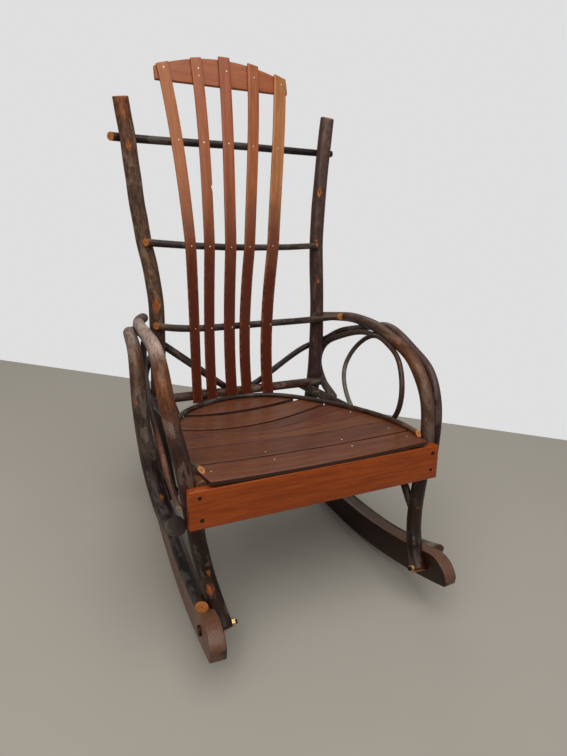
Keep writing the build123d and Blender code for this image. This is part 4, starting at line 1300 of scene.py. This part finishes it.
STICKS: tuple[Stick, ...] = (
    Stick(
        "back_post_left",
        route=(
            (-192.77, 470.6, 26), (-210.97, 525.9, 330), (-205.97, 553.2, 480), (-207.97, 573.2, 590),
            (-221.97, 589.6, 680), (-235.97, 607.8, 780), (-246.97, 631.5, 910), (-259.97, 651.8, 1022),
        ),
        butt=20.5, tip=18.3, slot="post_bark", finish="bark_rough", lumps=0.045, seed=11, around=48,
        pace=2.5,
        tones=(
            (0, 48, 20, 14), (0.25, 46, 33, 28), (0.45, 84, 58, 44), (0.62, 104, 76, 56), (0.8, 92, 68, 52),
            (0.93, 100, 64, 42), (1, 128, 76, 44),
        ),
        knots=(
            Knot(0.965, LEFT_FACE, 34, 10, 0.6), Knot(0.89, LEFT_FACE, 22, 9, 1.8, 1.05),
            Knot(0.8, (-0.8, -0.5, 0), 14, 10, 2.4, 0.4), Knot(0.735, (0.7, -0.7, 0), 12, 8, 1.8, 0.4),
            Knot(0.52, LEFT_FACE, 34, 14, 0.6, 1.0), Knot(0.995, (0.3, -0.9, 0.2), 10, 26, 0, 0.9),
        ),
        end_cut=(Cut.EASY, (0.2, -1, 0)),
    ),
    Stick(
        "back_post_right",
        route=(
            (192.73, 470.6, 26), (247.03, 520.4, 300), (258.03, 545.9, 440), (258.03, 571.4, 580),
            (256.03, 587.8, 670), (260.03, 604.2, 760), (273.03, 629.6, 900), (289.03, 651.8, 1022),
        ),
        butt=20.5, tip=18.3, slot="post_bark", lumps=0.035, seed=12, around=48, pace=2.5,
        tones=((0, 66, 24, 18), (0.25, 52, 32, 28), (0.5, 66, 42, 36), (0.7, 74, 50, 42), (1, 82, 56, 48)),
        knots=(
            Knot(0.805, RIGHT_FACE, 26, 10.5, 2.2, 1.12), Knot(0.89, (-0.2, -1, 0), 30, 2.2, 0, 0.8),
            Knot(0.68, RIGHT_FACE, 12, 14, 1, 0.75), Knot(0.57, (-0.2, -1, 0), 12, 6, 1.5, 0.9),
            Knot(0.995, (0.0, -0.9, 0.3), 7, 26, 0, 0.9), Knot(0.45, (-0.9, -0.4, 0), 14, 10, 2, 0.4),
        ),
        end_cut=(Cut.EASY, (0.1, -1, 0)),
    ),
    Stick(
        "crossbar_top",
        route=(
            (-290.47, 660.6, 933), (-249.47, 660.6, 932), (0.03, 660.6, 933), (277.03, 660.6, 931),
            (317.03, 660.6, 931),
        ),
        butt=9.9, tip=8.7, slot="bar_bark", lumps=0.04, seed=13,
        tones=(
            (0, 140, 98, 62), (0.03, 44, 32, 28), (0.2, 38, 28, 25), (0.26, 88, 58, 38), (0.32, 36, 27, 24),
            (1, 30, 23, 22),
        ),
        knots=(Knot(0.36, FRONT, 12, 8, 1, 0.5), Knot(0.72, FRONT, 12, 8, 1, 0.4)),
        start_cut=(Cut.SLANT, (0, -1, 0)),
    ),
    Stick(
        "crossbar_middle",
        route=((-232.77, 567, 702), (0.03, 567, 689), (254.03, 567, 693)),
        butt=9, tip=7.8, slot="bar_bark", lumps=0.04, seed=14,
        tones=(
            (0, 138, 90, 52), (0.05, 54, 40, 36), (0.5, 46, 34, 32), (0.8, 58, 42, 36), (0.96, 62, 44, 36),
            (1, 128, 82, 50),
        ),
        knots=(Knot(0.45, FRONT, 12, 8, 1, 0.4), Knot(0.98, FRONT, 12, 12, 0, 0.9)),
        start_cut=(Cut.SLANT, (0, -1, 0)), end_cut=(Cut.SLANT, (0, -1, 0)),
    ),
    Stick(
        "crossbar_arm",
        route=(
            (-220.27, 528.7, 502), (-156.27, 528.7, 491), (0.03, 528.7, 488), (178.03, 528.7, 490),
            (258.03, 527.7, 493), (287.03, 520.7, 497), (316.03, 494.7, 505),
        ),
        butt=9, tip=9, slot="bar_bark", lumps=0.035, seed=15,
        tones=(
            (0, 134, 88, 52), (0.06, 70, 56, 50), (0.25, 48, 36, 34), (0.7, 44, 32, 32), (0.85, 66, 46, 36),
            (1, 96, 66, 46),
        ),
        knots=(Knot(0.33, FRONT, 12, 8, 1, 0.4),),
        start_cut=(Cut.SLANT, (0, -1, 0)), end_cut=(Cut.BEVEL, (-0.3, -1, 0.3)),
    ),
    Stick(
        "front_leg_left",
        route=(
            (-226.97, -67, 84), (-269.97, 27.6, 320), (-282.97, 46, 409), (-291.97, 84, 472.2),
            (-295.97, 116, 529.4), (-293.97, 160, 555.9), (-290.97, 215, 562), (-284.97, 330, 552.8),
            (-273.97, 440, 535.5), (-236.57, 572.8, 511),
        ),
        butt=17.3, tip=12.6, slot="arm_bark", finish="bark_patched", lumps=0.035, seed=16, around=48,
        pace=2.5,
        tones=(
            (0, 38, 15, 8), (0.1, 42, 20, 10), (0.16, 28, 17, 12), (0.24, 56, 22, 14), (0.3, 64, 28, 18),
            (0.37, 60, 36, 27), (0.41, 70, 44, 32), (0.45, 92, 55, 33), (0.5, 120, 68, 34),
            (0.55, 98, 66, 46), (0.6, 96, 76, 62), (0.7, 84, 64, 52), (1, 78, 58, 48),
        ),
        knots=(
            Knot(0.085, (-0.2, -1, 0.1), 30, 14, 1.4, 0.72), Knot(0.295, (0.35, -0.9, 0), 24, 6, 0.6, 0.85),
            Knot(0.47, (0.1, -0.9, 0.4), 30, 9, 0.6, 0.42), Knot(0.22, (-0.1, -1, 0), 16, 8, 0.8, 0.55),
            Knot(0.405, (-0.5, -0.8, 0.2), 16, 9, 1.4, 0.45),
        ),
        # the arm's upward faces are painted pale: partly wear, partly painted sheen
        end_cut=(Cut.SLANT, (-1, 0, 0)), wear_and_painted_light=(0.53, 0.9, 0.85, (178, 153, 140)),
    ),
    Stick(
        "front_leg_right",
        route=(
            (226.93, -67, 84), (270.03, 27.6, 320), (278.03, 44, 391.1), (283.03, 76, 453.7),
            (286.03, 112, 486.8), (290.03, 165, 512.9), (292.03, 218, 523.3), (297.03, 291, 530.3),
            (305.03, 366, 526.8), (318.03, 446, 514.6), (325.03, 503, 502), (284.43, 564.3, 488.5),
        ),
        butt=17.3, tip=12.6, slot="arm_bark", lumps=0.035, seed=17, around=48, pace=2.5,
        tones=(
            (0, 58, 21, 12), (0.03, 44, 22, 12), (0.06, 36, 23, 15), (0.2, 46, 28, 18), (0.3, 72, 50, 38),
            (0.42, 84, 57, 40), (0.52, 104, 61, 36), (0.7, 74, 49, 35), (1, 76, 57, 43),
        ),
        knots=(
            Knot(0.065, (-0.6, -0.8, 0.1), 12, 8, 1.8, 0.45), Knot(0.155, (-0.4, -0.9, 0), 12, 9, 1, 0.5),
            Knot(0.262, (0.2, -1, 0), 24, 6, 0.6, 0.95), Knot(0.58, (-0.6, -0.6, 0.4), 18, 9, 0.6, 0.58),
            Knot(0.36, (-0.9, -0.4, 0), 10, 7, 3.5, 0.3), Knot(0.42, (-0.3, -0.9, 0.3), 30, 6, 0.4, 0.5),
        ),
        # the arm's upward faces are painted a little paler: partly wear, partly painted sheen
        wear_and_painted_light=(0.5, 0.95, 0.1, (110, 82, 64)),
    ),
    Stick(
        "arm_bow_left",
        route=(
            (-297.97, 2.7, 294), (-302.97, 88, 266), (-311.97, 156, 323.3), (-319.97, 192, 409),
            (-319.97, 222, 476.3), (-315.97, 262, 521.2), (-310.97, 320, 535.5), (-302.97, 400, 529.4),
            (-285.97, 480, 504.9), (-251.97, 556, 479.5), (-207.07, 575.2, 447.1), (-165.97, 562, 418.8),
            (-19.97, 516.5, 311),
        ),
        butt=18.5, tip=8.5, slot="arm_bark", finish="bark_patched", sawn="end_black", lumps=0.035, seed=18,
        around=44, pace=2.5,
        tones=(
            (0, 60, 48, 42), (0.03, *BLACK_BARK), (0.1, 38, 26, 22), (0.15, 48, 24, 17),
            (0.19, *BLACK_BARK), (0.23, 80, 64, 54), (0.27, 70, 54, 45), (0.31, 66, 48, 37),
            (0.35, 88, 58, 40), (0.39, 96, 62, 38), (0.43, 98, 74, 58), (0.6, 66, 48, 40), (1, 48, 34, 30),
        ),
        knots=(
            Knot(0.36, (0, -0.9, 0.4), 24, 10, 0.6, 0.6), Knot(0.31, (-0.5, -0.8, 0.2), 20, 8, 1, 0.45),
            Knot(0.12, FRONT, 18, 10, 1.6, 0.0),
        ),
        # the bow's upward faces are painted pale: partly wear, partly painted sheen
        start_cut=(Cut.SLANT, (0.6, 0, 0.8)), wear_and_painted_light=(0.39, 0.7, 0.7, (146, 126, 114)),
    ),
    Stick(
        "arm_bow_right",
        route=(
            (291.03, 21.5, 292), (299.03, 36, 378), (302.03, 66, 462.4), (309.03, 112, 497.2),
            (311.03, 165, 516.3), (311.03, 222, 533.7), (314.03, 290, 539), (315.03, 345, 521.6),
            (310.03, 410, 497.2), (300.03, 498, 458.9), (287.03, 552, 420.1), (255.13, 565.2, 403.9),
            (190.03, 558, 376.9), (18.03, 516, 300),
        ),
        butt=9.4, tip=8, slot="arm_bark", lumps=0.04, seed=19,
        tones=((0, 52, 32, 34), (0.3, 62, 40, 38), (0.5, 72, 52, 44), (0.75, 46, 34, 30), (1, 40, 28, 28)),
        knots=(
            Knot(0.22, (-0.5, -0.8, 0.1), 12, 7, 1.2, 0.5), Knot(0.42, (-0.5, -0.6, 0.5), 10, 6, 1.2, 0.4),
        ),
        # the bow's upward faces are painted paler: partly wear, partly painted sheen
        wear_and_painted_light=(0.15, 0.6, 0.3, (118, 98, 88)),
    ),
    Stick(
        "hoop_large_left",
        route=(
            (-219.87, 392, 304), (-227.87, 450, 312), (-237.27, 518.6, 314), (-241.27, 552.6, 345),
            (-233.97, 541.7, 397), (-235.97, 462, 458), (-260.57, 386, 494), (-278.07, 282, 540.3),
        ),
        butt=11.5, tip=6, slot="twig_bark", seed=20,
        tones=((0, *DARK_BARK), (0.5, 54, 36, 30), (1, 84, 72, 58)),
        knots=(Knot(0.6, FRONT, 12, 7, 1.2, 0.4),),
    ),
    Stick(
        "hoop_large_right",
        route=(
            (245.53, 392, 304), (253.53, 450, 312), (275.33, 518.6, 314), (279.33, 552.6, 345),
            (279.63, 541.7, 397), (281.63, 462, 458), (288.33, 386, 494), (287.93, 282, 514.5),
        ),
        butt=11.5, tip=6, slot="twig_bark", seed=21,
        tones=((0, 72, 60, 52), (0.3, 62, 46, 38), (0.6, 56, 42, 36), (1, 74, 62, 50)),
        knots=(Knot(0.7, FRONT, 12, 7, 1.2, 0.4),),
    ),
    Stick(
        "hoop_small_right",
        route=(
            (214.13, 257, 344.8), (222.03, 300, 365), (240.03, 346, 415), (260.03, 345, 462),
            (280.73, 296, 513.4), (278.83, 232, 513.4), (274.03, 180, 497), (266.03, 144, 462),
            (258.03, 124, 420), (257.03, 130, 376), (255.63, 140, 355.2),
        ),
        butt=5.6, tip=6.4, slot="twig_bark", seed=22, around=24,
        tones=((0, 112, 102, 90), (0.3, 72, 60, 50), (0.5, 58, 44, 38), (0.7, 74, 48, 34), (1, 56, 42, 36)),
        knots=(Knot(0.72, FRONT, 10, 6, 1, 0.7), Knot(0.3, FRONT, 10, 6, 1, 0.4)),
    ),
    Stick(
        "hoop_small_left",
        route=(
            (-286.87, 25.5, 302), (-290.97, 92, 326), (-290.97, 160, 360), (-289.97, 232, 392),
            (-289.97, 290, 450), (-286.97, 322, 534.6),
        ),
        # its bevelled start is painted pale as a highlight
        butt=5.6, tip=6.4, slot="twig_bark", sawn="end_pale_highlight", seed=23, around=24,
        tones=((0, 118, 96, 78), (0.1, 84, 52, 42), (0.3, 110, 66, 46), (0.6, *DARK_BARK), (1, 72, 58, 48)),
        knots=(Knot(0.25, FRONT, 10, 6, 1, 0.35),),
        start_cut=(Cut.BEVEL, (-0.6, -1, 0.2)),
    ),
    Stick(
        "seat_bow",
        route=(
            (-239.97, 40, 371.7), (-253.97, 95, 365.8), (-242.97, 220, 350.3), (-200.97, 350, 332.9),
            (-111.97, 424, 321.3), (-17.97, 446, 317.5), (70.03, 426, 320.4), (140.03, 360, 329.7),
            (206.03, 252, 344.8), (246.03, 140, 360), (248.03, 30, 373.3),
        ),
        butt=6, tip=6, slot="twig_bark", seed=24, around=24,
        tones=(
            (0, 112, 78, 52), (0.03, 84, 68, 58), (0.1, 58, 44, 38), (0.5, 50, 38, 34), (0.9, 66, 46, 38),
            (0.97, 88, 58, 40), (1, 112, 72, 44),
        ),
        knots=(Knot(0.2, (0.3, -0.4, 0.8), 10, 6, 1, 0.6), Knot(0.8, (0, -0.4, 0.8), 10, 6, 1, 0.5)),
        start_cut=(Cut.BEVEL, (-0.3, 0, 1)), end_cut=(Cut.BEVEL, (0, 0, 1)),
    ),
    Stick(
        "side_rod_left",
        route=(
            (-266.27, -50, 134.3), (-258.27, 90, 96.1), (-246.97, 250, 76.3), (-233.37, 400, 79.5),
            (-227.37, 505, 94.4),
        ),
        butt=12, tip=11, slot="rail_bark", finish="bark_rough", lumps=0.04, seed=25,
        tones=((0, 70, 40, 24), (0.05, 34, 23, 19), (0.12, 24, 19, 17), (0.5, 28, 20, 18), (1, *DARK_BARK)),
        knots=(Knot(0.3, FRONT, 14, 8, 1.4, 0.4),),
        start_cut=(Cut.SLANT, (-1, -0.6, 0)),
    ),
    Stick(
        "side_rod_right",
        route=(
            (285.03, -62, 121.6), (276.23, 90, 67.1), (268.73, 220, 49.1), (261.83, 340, 46.7),
            (255.83, 445, 61.6),
        ),
        butt=12, tip=11, slot="rail_bark", finish="bark_rough", sawn="end_dark", lumps=0.05, seed=26,
        tones=((0, 126, 112, 98), (0.1, 104, 88, 74), (0.2, *DARK_BARK), (1, *DARK_BARK)),
        knots=(Knot(0.25, (-0.8, -0.4, 0.2), 14, 8, 1.4, 0.4),),
        start_cut=(Cut.SLANT, (-0.5, -1, 0)),
    ),
    Stick(
        "leg_brace_left",
        route=((-244.47, -13.2, 180), (-244.47, 14.8, 204), (-235.57, 112, 329.8)),
        butt=9.5, tip=8.5, slot="twig_bark", finish="bark_rough", seed=27, skip=12,
        tones=((0, *DARK_BARK), (0.5, *RED_BROWN), (1, *DARK_BARK)),
    ),
    Stick(
        "leg_brace_right",
        route=((244.43, -13.2, 180), (244.43, 14.8, 204), (241.43, 112, 329.8)),
        butt=9.5, tip=8.5, slot="twig_bark", finish="bark_rough", seed=28, skip=12,
        tones=((0, *DARK_BARK), (0.5, 82, 52, 42), (1, *DARK_BARK)),
    ),
    Stick(
        "seat_rail_rear",
        route=((-235.87, 498, 311.24), (271.88, 498, 311.24)),
        butt=12, tip=12, slot="rail_bark", finish="bark_rough", lumps=0.03, seed=29,
        tones=((0, *DARK_BARK), (0.5, 92, 60, 44), (1, *DARK_BARK)),
        knots=(Knot(0.3, FRONT, 14, 8, 1, 0.4),),
    ),
    Stick(
        "side_rail_left",
        route=((-248.535, 19.178, 351.699), (-178.116, 553.175, 287.619)),
        butt=12, tip=12, slot="rail_bark", finish="bark_rough", sawn="end_dark", lumps=0.025, seed=30,
        tones=((0, 128, 78, 46), (0.1, *RED_BROWN), (0.5, *DARK_BARK), (1, *DARK_BARK)),
        knots=(Knot(0.2, (-0.8, -0.5, 0.1), 14, 8, 1, 0.5),),
    ),
    Stick(
        "side_rail_right",
        route=((247.538, 19.178, 351.699), (214.576, 553.175, 287.619)),
        butt=12, tip=12, slot="rail_bark", finish="bark_rough", sawn="end_dark", lumps=0.025, seed=31,
        tones=((0, 118, 74, 44), (0.1, *RED_BROWN), (0.5, *DARK_BARK), (1, *DARK_BARK)),
    ),
    Stick(
        "seat_runner_left",
        route=((-90, 18.357, 346.6), (-90, 512, 287.56)),
        butt=11, tip=11, slot="rail_bark", finish="bark_rough", lumps=0.02, seed=32,
        tones=((0, *RED_BROWN), (1, *DARK_BARK)),
    ),
    Stick(
        "seat_runner_right",
        route=((90, 18.357, 346.6), (90, 512, 287.56)),
        butt=11, tip=11, slot="rail_bark", finish="bark_rough", lumps=0.02, seed=33,
        tones=((0, *RED_BROWN), (1, *DARK_BARK)),
    ),
)

NAILS_BACK: Pairs = (
    (-55.07, 1104), (-55.57, 1087), (19.43, 1106), (94.93, 1100), (-143.07, 1096), (171.93, 1092),
    (-123.07, 936), (-58.07, 934), (7.93, 936), (74.93, 934), (145.93, 934), (-116.07, 693), (-68.07, 692),
    (-11.07, 690), (40.43, 691), (105.93, 693), (-116.07, 490), (-73.07, 489), (-16.07, 488), (31.93, 488),
    (93.93, 489),
)
NAILS_SEAT: Pairs = (
    (-89.97, 55.5), (-91.57, 95.5), (90.03, 53.5), (88.93, 93.5), (-224.07, 45.5), (225.93, 45.5),
    (217.93, 102.5), (197.93, 232.5),
)
SCREWS_APRON: Pairs = (
    (-260.07, 344), (-257.07, 300), (263.93, 342), (261.93, 304),
)


@dataclass
class Fastenings:
    """Nail heads in the slats, screws in the front board and the metal of the bolts."""

    seat: Seat
    back: Back

    def back_places(self) -> list[tuple[Point, Point]]:
        """Where nails stand on the back slats' faces."""
        found = []
        for x, z in NAILS_BACK:
            height = np.array([z], float)
            out = self.back.outward(height)[0]
            face = np.array((x, self.back.depth(height)[0], z)) + out * self.back.thickness / 2
            found.append((tuple(place(face)), tuple(out)))
        return found

    def seat_places(self) -> list[tuple[Point, Point]]:
        """Where nails stand on the seat slats."""
        out = np.array((0.0, self.seat.slope, 1.0))
        out /= np.linalg.norm(out)
        return [(tuple(place((x, y, self.seat.top(x, y)))), tuple(out)) for x, y in NAILS_SEAT]

    def apron_places(self) -> list[tuple[Point, Point]]:
        """Where screws stand on the front board."""
        lean = math.radians(self.seat.apron_lean)
        out = (0.0, -math.cos(lean), math.sin(lean))
        fall = math.tan(lean)
        return [(tuple(place((x, -(self.seat.height - z) * fall, z))), out) for x, z in SCREWS_APRON]

    def build(self, finishes: Materials) -> None:
        """Set every head and dress the bolts.

        Args:
            finishes: the materials by name.
        """
        nail, screw = finishes["nail_steel"], finishes["screw_steel"]
        Nails(head=0.0021, proud=0.0007, seed=4).build("back_nails", self.back_places(), nail)
        Nails(head=0.0023, proud=0.0008, seed=9).build("seat_nails", self.seat_places(), nail)
        Nails(head=0.0042, proud=0.0012, seed=2).build("apron_screws", self.apron_places(), screw)
        for side in ("left", "right"):
            for end in ("front", "rear"):
                for kind, metal in (("bolt", screw), ("nut", finishes["nut_plate"])):
                    piece = bpy.data.objects[f"{kind}_{end}_{side}"]
                    piece.data.materials.clear()
                    piece.data.materials.append(metal)
                    LOG.info("%s: dressed", piece.name)


@dataclass
class Studio:
    """A pale floor, a pale room and soft light."""

    floor_colour: Colour = paint(160, 155, 145)
    floor_stain: Colour = paint(140, 134, 123)
    floor_reach: float = 30.0
    floor_end: tuple[float, float] = (22.6, -20.6)
    wall: Colour = paint(223, 223, 223)
    room: Colour = (0.80, 0.80, 0.80)
    ambient: float = 0.36
    gloss: float = 0.26
    lamps: tuple[tuple[str, Point, float, float, Colour], ...] = (
        ("overhead", (-0.3, -1.1, 3.3), 3.2, 76, (1.0, 0.98, 0.95)),
        ("key", (-1.8, -1.2, 2.2), 2.0, 22, (1.0, 0.97, 0.93)),
        ("fill", (2.0, -1.6, 1.6), 2.0, 6, (0.95, 0.97, 1.0)),
        ("rim", (0.6, 2.4, 2.6), 2.2, 16, (1.0, 0.98, 0.95)),
    )
    eye: Point = (-0.50843, -1.10200, 0.9197)
    yaw: float = 0.4623
    pitch: float = 0.3857
    roll: float = 0.0738
    focal: float = 547.8
    image_height: float = 756.0
    sensor: float = 36.0

    def build(self) -> None:
        """Set the floor, the room, the lamps and the camera."""
        self.floor()
        self.world()
        for lamp in self.lamps:
            self.lamp(*lamp)
        self.camera()

    def floor(self) -> None:
        """Lay a plain floor that ends in a straight line some way behind the chair."""
        reach, (left, right) = self.floor_reach, self.floor_end
        mesh = bpy.data.meshes.new("floor")
        corners = [(-reach, -reach, 0), (reach, -reach, 0), (reach, right, 0), (-reach, left, 0)]
        mesh.from_pydata(corners, [], [(0, 1, 2, 3)])
        n = Nodes("floor_paint")
        cloud = n.ramp(n.noise(n.add("TexCoord", {}).outputs["Object"], 3, 3), 0.4, 0.7, 0, 0.06)
        n.set(Base_Color=n.mix(cloud, self.floor_colour, self.floor_stain), Roughness=0.85)
        mesh.materials.append(n.material)
        floor = stand("floor", mesh)

    def world(self) -> None:
        """Light the room softly and show it pale behind the chair."""
        world = bpy.data.worlds.new("room")
        bpy.context.scene.world = world
        world.use_nodes = True
        tree = world.node_tree
        tree.nodes.clear()
        path = add_node(tree, "ShaderNodeLightPath", {}).outputs
        shown, glossy, seen = (
            add_node(tree, "ShaderNodeBackground", {0: colour, 1: strength}).outputs[0]
            for colour, strength in ((self.room, self.ambient), (self.room, self.gloss), (self.wall, 1.0))
        )
        for ray, shade in (("Is Glossy Ray", glossy), ("Is Camera Ray", seen)):
            shown = add_node(tree, "ShaderNodeMixShader", {0: path[ray], 1: shown, 2: shade}).outputs[0]
        add_node(tree, "ShaderNodeOutputWorld", {0: shown})

    def lamp(self, name: str, place: Point, size: float, watts: float, colour: Colour) -> None:
        """Hang one square lamp facing the chair.

        Args:
            name, place, size, watts, colour: what and where.
        """
        data = bpy.data.lights.new(name, "AREA")
        data.size = size
        data.energy = watts
        data.color = colour
        lamp = stand(name, data)
        aim = Vector((0, 0, 0.5)) - Vector(place)
        lamp.matrix_world = Matrix.Translation(place) @ aim.to_track_quat("-Z", "Y").to_matrix().to_4x4()

    def camera(self) -> None:
        """Stand the camera."""
        sin_yaw, cos_yaw = math.sin(self.yaw), math.cos(self.yaw)
        level = math.cos(self.pitch)
        ahead = Vector((sin_yaw * level, cos_yaw * level, -math.sin(self.pitch)))
        right = Vector((cos_yaw, -sin_yaw, 0))
        up = right.cross(ahead)
        side = right * math.cos(self.roll) + up * math.sin(self.roll)
        top = up * math.cos(self.roll) - right * math.sin(self.roll)
        data = bpy.data.cameras.new("camera")
        data.sensor_fit = "VERTICAL"
        data.sensor_height = self.sensor
        data.lens = self.focal / self.image_height * self.sensor
        camera = stand("camera", data)
        turn = Matrix((side, top, -ahead)).transposed().to_4x4()
        camera.matrix_world = Matrix.Translation(self.eye) @ turn
        bpy.context.scene.camera = camera


SEAT_COLOURS: tuple[tuple[Paint, Paint], ...] = (
    ((114, 65, 38), (95, 50, 30)), ((106, 60, 35), (88, 46, 27)), ((119, 69, 38), (99, 54, 31)),
)
BACK_COLOURS: tuple[tuple[Paint, Paint], ...] = (
    ((172, 102, 52), (150, 84, 42)), ((164, 90, 46), (142, 74, 36)), ((158, 84, 44), (136, 68, 34)),
    ((162, 92, 46), (140, 74, 36)), ((178, 118, 70), (158, 98, 54)),
)


def finishes() -> Materials:
    """Make every finish once.

    Returns:
        The materials by name.
    """
    kinds = [
        BarkFinish(
            "bark_smooth", fissures=0.45, mottle=0.4, specks=0.25, patches=0.25, relief=0.0006,
            roughness=0.40, coat=0.3, shift=1.3,
        ),
        BarkFinish(
            "bark_rough", fissures=0.75, mottle=0.55, specks=0.45, patches=0.35, relief=0.0011,
            roughness=0.50, coat=0.18, shift=4.1,
        ),
        BarkFinish(
            "bark_patched", fissures=0.6, mottle=0.5, specks=0.6, patches=0.4, relief=0.0008,
            roughness=0.46, coat=0.2, shift=7.7,
        ),
        EndGrain("end_grain", paint(186, 112, 44), paint(104, 52, 20)),
        EndGrain("end_dark", paint(84, 56, 40), paint(34, 22, 18)),
        EndGrain("end_black", paint(46, 34, 29), paint(20, 15, 13)),
        # Pale grey-beige end grain: a painted highlight on the small left hoop's bevelled cut.
        EndGrain("end_pale_highlight", paint(146, 128, 106), paint(84, 68, 54)),
        VarnishedBoard(
            "apron_varnish", paint(152, 68, 14), paint(132, 54, 10), paint(92, 34, 8), streaks=0.55,
            blotch=0.25, roughness=0.3, shift=2.0, ripple=0.00025,
        ),
        VarnishedBoard(
            "crest_varnish", paint(160, 88, 44), paint(142, 72, 35), paint(98, 48, 24), streaks=0.4, shift=3.0
        ),
        # Its back colour is painted shade on the rockers' inner faces.
        VarnishedBoard(
            "rocker_varnish", paint(118, 68, 40), paint(86, 44, 26), paint(46, 22, 14), streaks=0.6,
            blotch=0.45, roughness=0.34, shift=5.0, rim=paint(104, 72, 54), back=paint(40, 22, 13),
        ),
        PlatedSteel("nail_steel", paint(214, 208, 196), paint(120, 96, 70), 0.22),
        PlatedSteel("screw_steel", paint(70, 50, 38), paint(30, 20, 16), 0.45),
        PlatedSteel("nut_plate", paint(196, 170, 112), paint(110, 84, 44), 0.3),
    ]
    for number, (light, mid) in enumerate(SEAT_COLOURS):
        # The rim and back colours are painted shade on the seat slats' sawn sides and undersides.
        varnish = VarnishedBoard(
            f"seat_varnish_{number}", paint(*light), paint(*mid), paint(50, 28, 22), streaks=0.55,
            blotch=0.35, roughness=0.3, shift=6.0 + number, rim=paint(52, 27, 17), back=paint(44, 27, 20),
        )
        kinds.append(varnish)
    for number, (light, mid) in enumerate(BACK_COLOURS):
        varnish = VarnishedBoard(
            f"back_varnish_{number}", paint(*light), paint(*mid), paint(84, 40, 24), streaks=0.5,
            shift=10.0 + number, foot=paint(84, 30, 12),
        )
        kinds.append(varnish)
    return {kind.name: kind.build() for kind in kinds}


def main() -> None:
    """Build the chair, then its room."""
    made = finishes()
    for stick in STICKS:
        show(stick.mesh(), [made[stick.finish], made[stick.sawn]], stick.slot, (stick.name,))
    seat, back = Seat(), Back()
    seat.build(made)
    back.build(made)
    Rockers().build(made)
    Fastenings(seat=seat, back=back).build(made)
    Studio().build()
    bpy.context.scene.view_settings.view_transform = "Standard"


if __name__ == "__main__":
    logging.basicConfig(level=logging.INFO, format="%(name)s: %(message)s")
    main()
